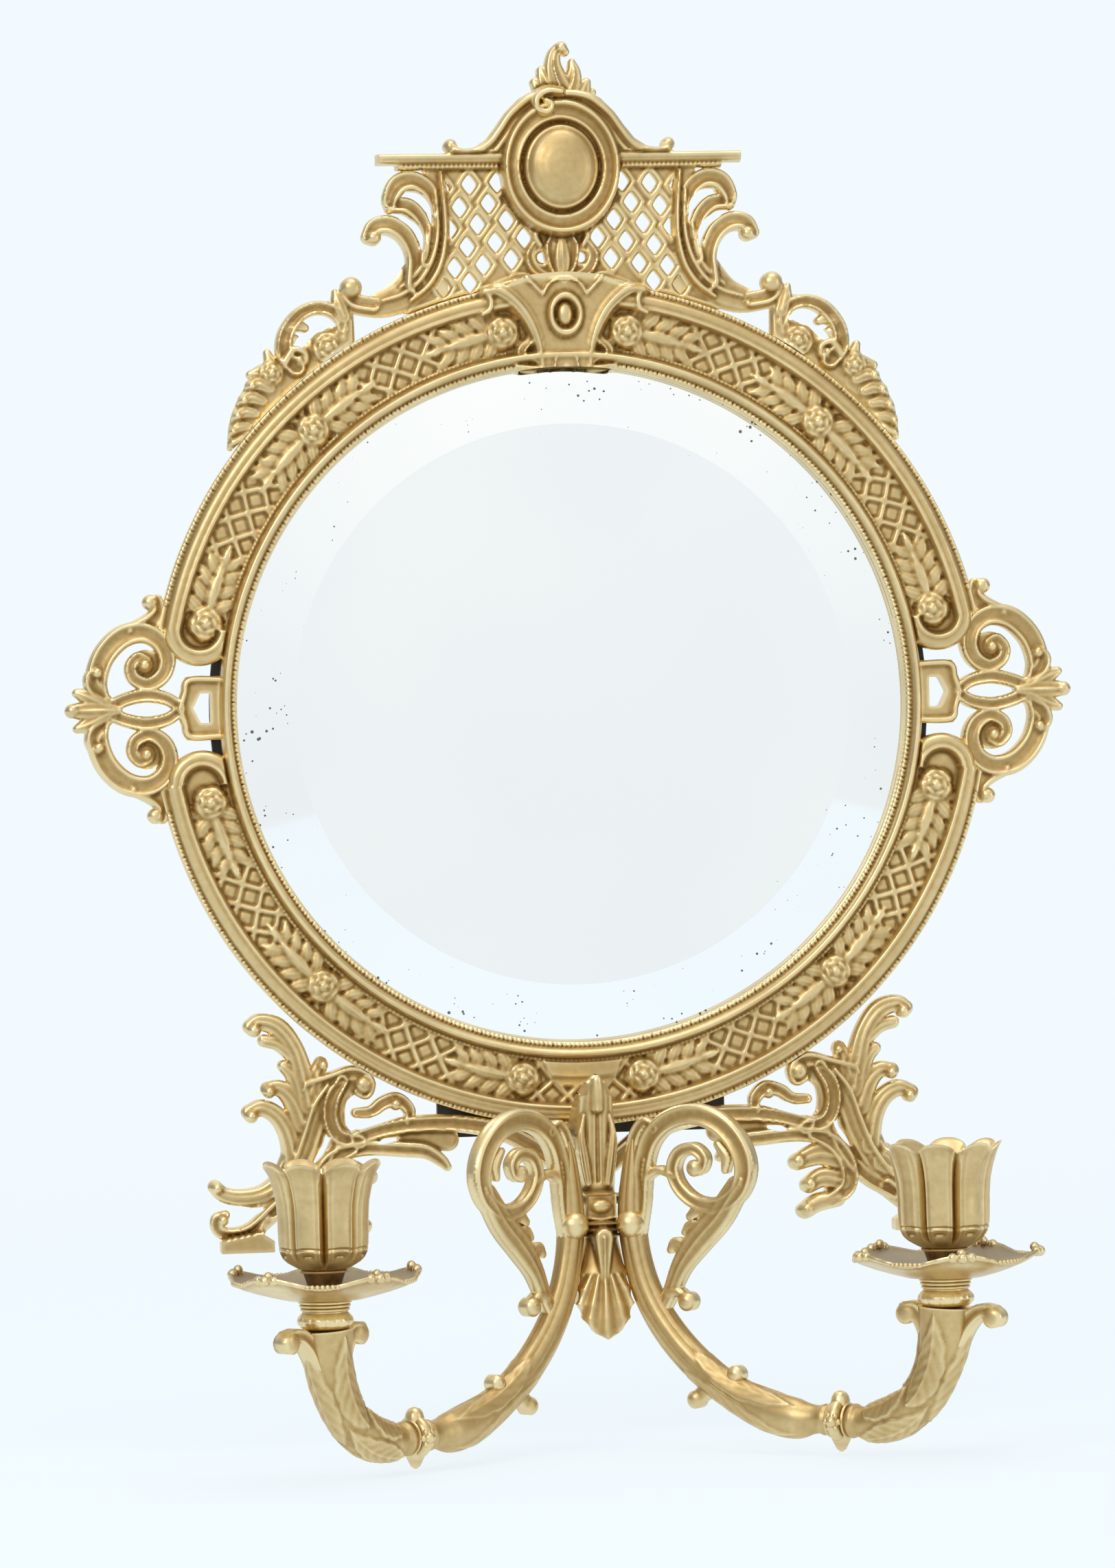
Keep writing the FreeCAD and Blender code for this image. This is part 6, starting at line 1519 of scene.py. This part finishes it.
class GIRANDOLE_OT_base(bpy.types.Operator):
    """Base casting with its wings and feet, and the spine that carries both arms"""
    bl_idname = "girandole.base"
    bl_label = "Base and spine"

    def execute(self, context):
        finish = gilt_brass("base_gilding", context.scene.girandole_gilt)
        piece("base_casting", [casting(base_relief())], finish, ["base_apron"])
        piece("spine_leaf", [casting(spine_relief(), back=spine_back)], finish, ["spine"])
        return {"FINISHED"}


class GIRANDOLE_OT_arms(bpy.types.Operator):
    """Both candle arms: fluted stems, volutes, collars and horns"""
    bl_idname = "girandole.arms"
    bl_label = "Arms"

    def execute(self, context):
        finish = gilt_brass("arm_gilding", context.scene.girandole_gilt)
        stem = on_arm(swept(STEM_STATIONS, 96, flutes))
        scrolls = on_arm(casting(arm_relief(), two_sided=True))
        node_ball = on_arm(ball(3.2, 2.4, -180.2, 5.2, 15, 32))
        horn = on_arm(swept(HORN_STATIONS, 96, lambda turn, share: 1 + leaves_round(turn, share, 4, 0.1, 0.5, 0.12)
                            + leaves_round(turn, share, 4, 0.42, 0.98, 0.1, 0.5)))
        curls = on_arm(casting(horn_relief(), two_sided=True))
        collar = [on_arm(part) for part in collar_parts()]
        for side, turn in (("right", lambda part: part), ("left", mirrored)):
            piece("inner_arm_" + side + "_form", [turn(stem), turn(scrolls), turn(node_ball)], finish,
                  ["inner_arm_" + side])
            piece("outer_arm_" + side + "_form", [turn(horn), turn(curls)], finish, ["outer_arm_" + side])
            piece("arm_collar_" + side, [turn(part) for part in collar], finish, ["arm_collars"])
        return {"FINISHED"}


class GIRANDOLE_OT_candle_cups(bpy.types.Operator):
    """Candle cups with their necks, pans, mouldings and collars"""
    bl_idname = "girandole.candle_cups"
    bl_label = "Candle cups and pans"

    def execute(self, context):
        colours = context.scene.girandole_gilt
        finish = gilt_brass("cup_gilding", colours, darken=-0.12, rough=0.34)
        dull = dusty_gilt("pan_gilding", colours)
        bronze = dark_bronze("bronzed_neck")
        for side, angle in PAN_TURNS:
            turn = mirrored if side == "left" else (lambda part: part)
            piece("candle_cup_" + side + "_form", [turn(on_arm(cup_part()))], finish, ["candle_cup_" + side])
            piece("drip_pan_" + side + "_form", [turn(on_arm(part)) for part in pan_parts(angle)], dull,
                  ["drip_pan_" + side])
            piece("cup_neck_" + side, [turn(on_arm(stem_part()))], bronze, ["cup_stems"])
            piece("cup_flange_" + side, [turn(on_arm(flange_part()))], finish, ["cup_stems"])
            piece("pan_seat_" + side, [turn(on_arm(seat_part()))], finish, ["pan_seats"])
            piece("neck_collar_" + side, [turn(on_arm(neck_part()))], finish, ["neck_collars"])
        return {"FINISHED"}


class GIRANDOLE_PT_pieces(bpy.types.Panel):
    """Lists the pieces, with the sizes and colours that can be changed"""
    bl_idname = "GIRANDOLE_PT_pieces"
    bl_label = "Girandole mirror"
    bl_space_type = "VIEW_3D"
    bl_region_type = "UI"
    bl_category = "Girandole"

    def draw(self, context):
        for group in (context.scene.girandole_stage, context.scene.girandole_gilt):
            box = self.layout.box()
            for name in group.bl_rna.properties.keys():
                if name not in ("rna_type", "name"):
                    box.prop(group, name)
        for operator in OPERATORS:
            self.layout.operator(operator.bl_idname)


OPERATORS = (GIRANDOLE_OT_stage, GIRANDOLE_OT_hidden_metal, GIRANDOLE_OT_ring, GIRANDOLE_OT_crest,
             GIRANDOLE_OT_base, GIRANDOLE_OT_arms, GIRANDOLE_OT_candle_cups)
CLASSES = (StageSizes, GiltColours, *OPERATORS, GIRANDOLE_PT_pieces)


def register():
    for kind in CLASSES:
        bpy.utils.register_class(kind)
    bpy.types.Scene.girandole_stage = PointerProperty(type=StageSizes)
    bpy.types.Scene.girandole_gilt = PointerProperty(type=GiltColours)


def unregister():
    del bpy.types.Scene.girandole_gilt
    del bpy.types.Scene.girandole_stage
    for kind in reversed(CLASSES):
        bpy.utils.unregister_class(kind)


def main():
    register()
    for operator in OPERATORS:
        group, name = operator.bl_idname.split(".")
        getattr(getattr(bpy.ops, group), name)()


if __name__ == "__main__":
    main()
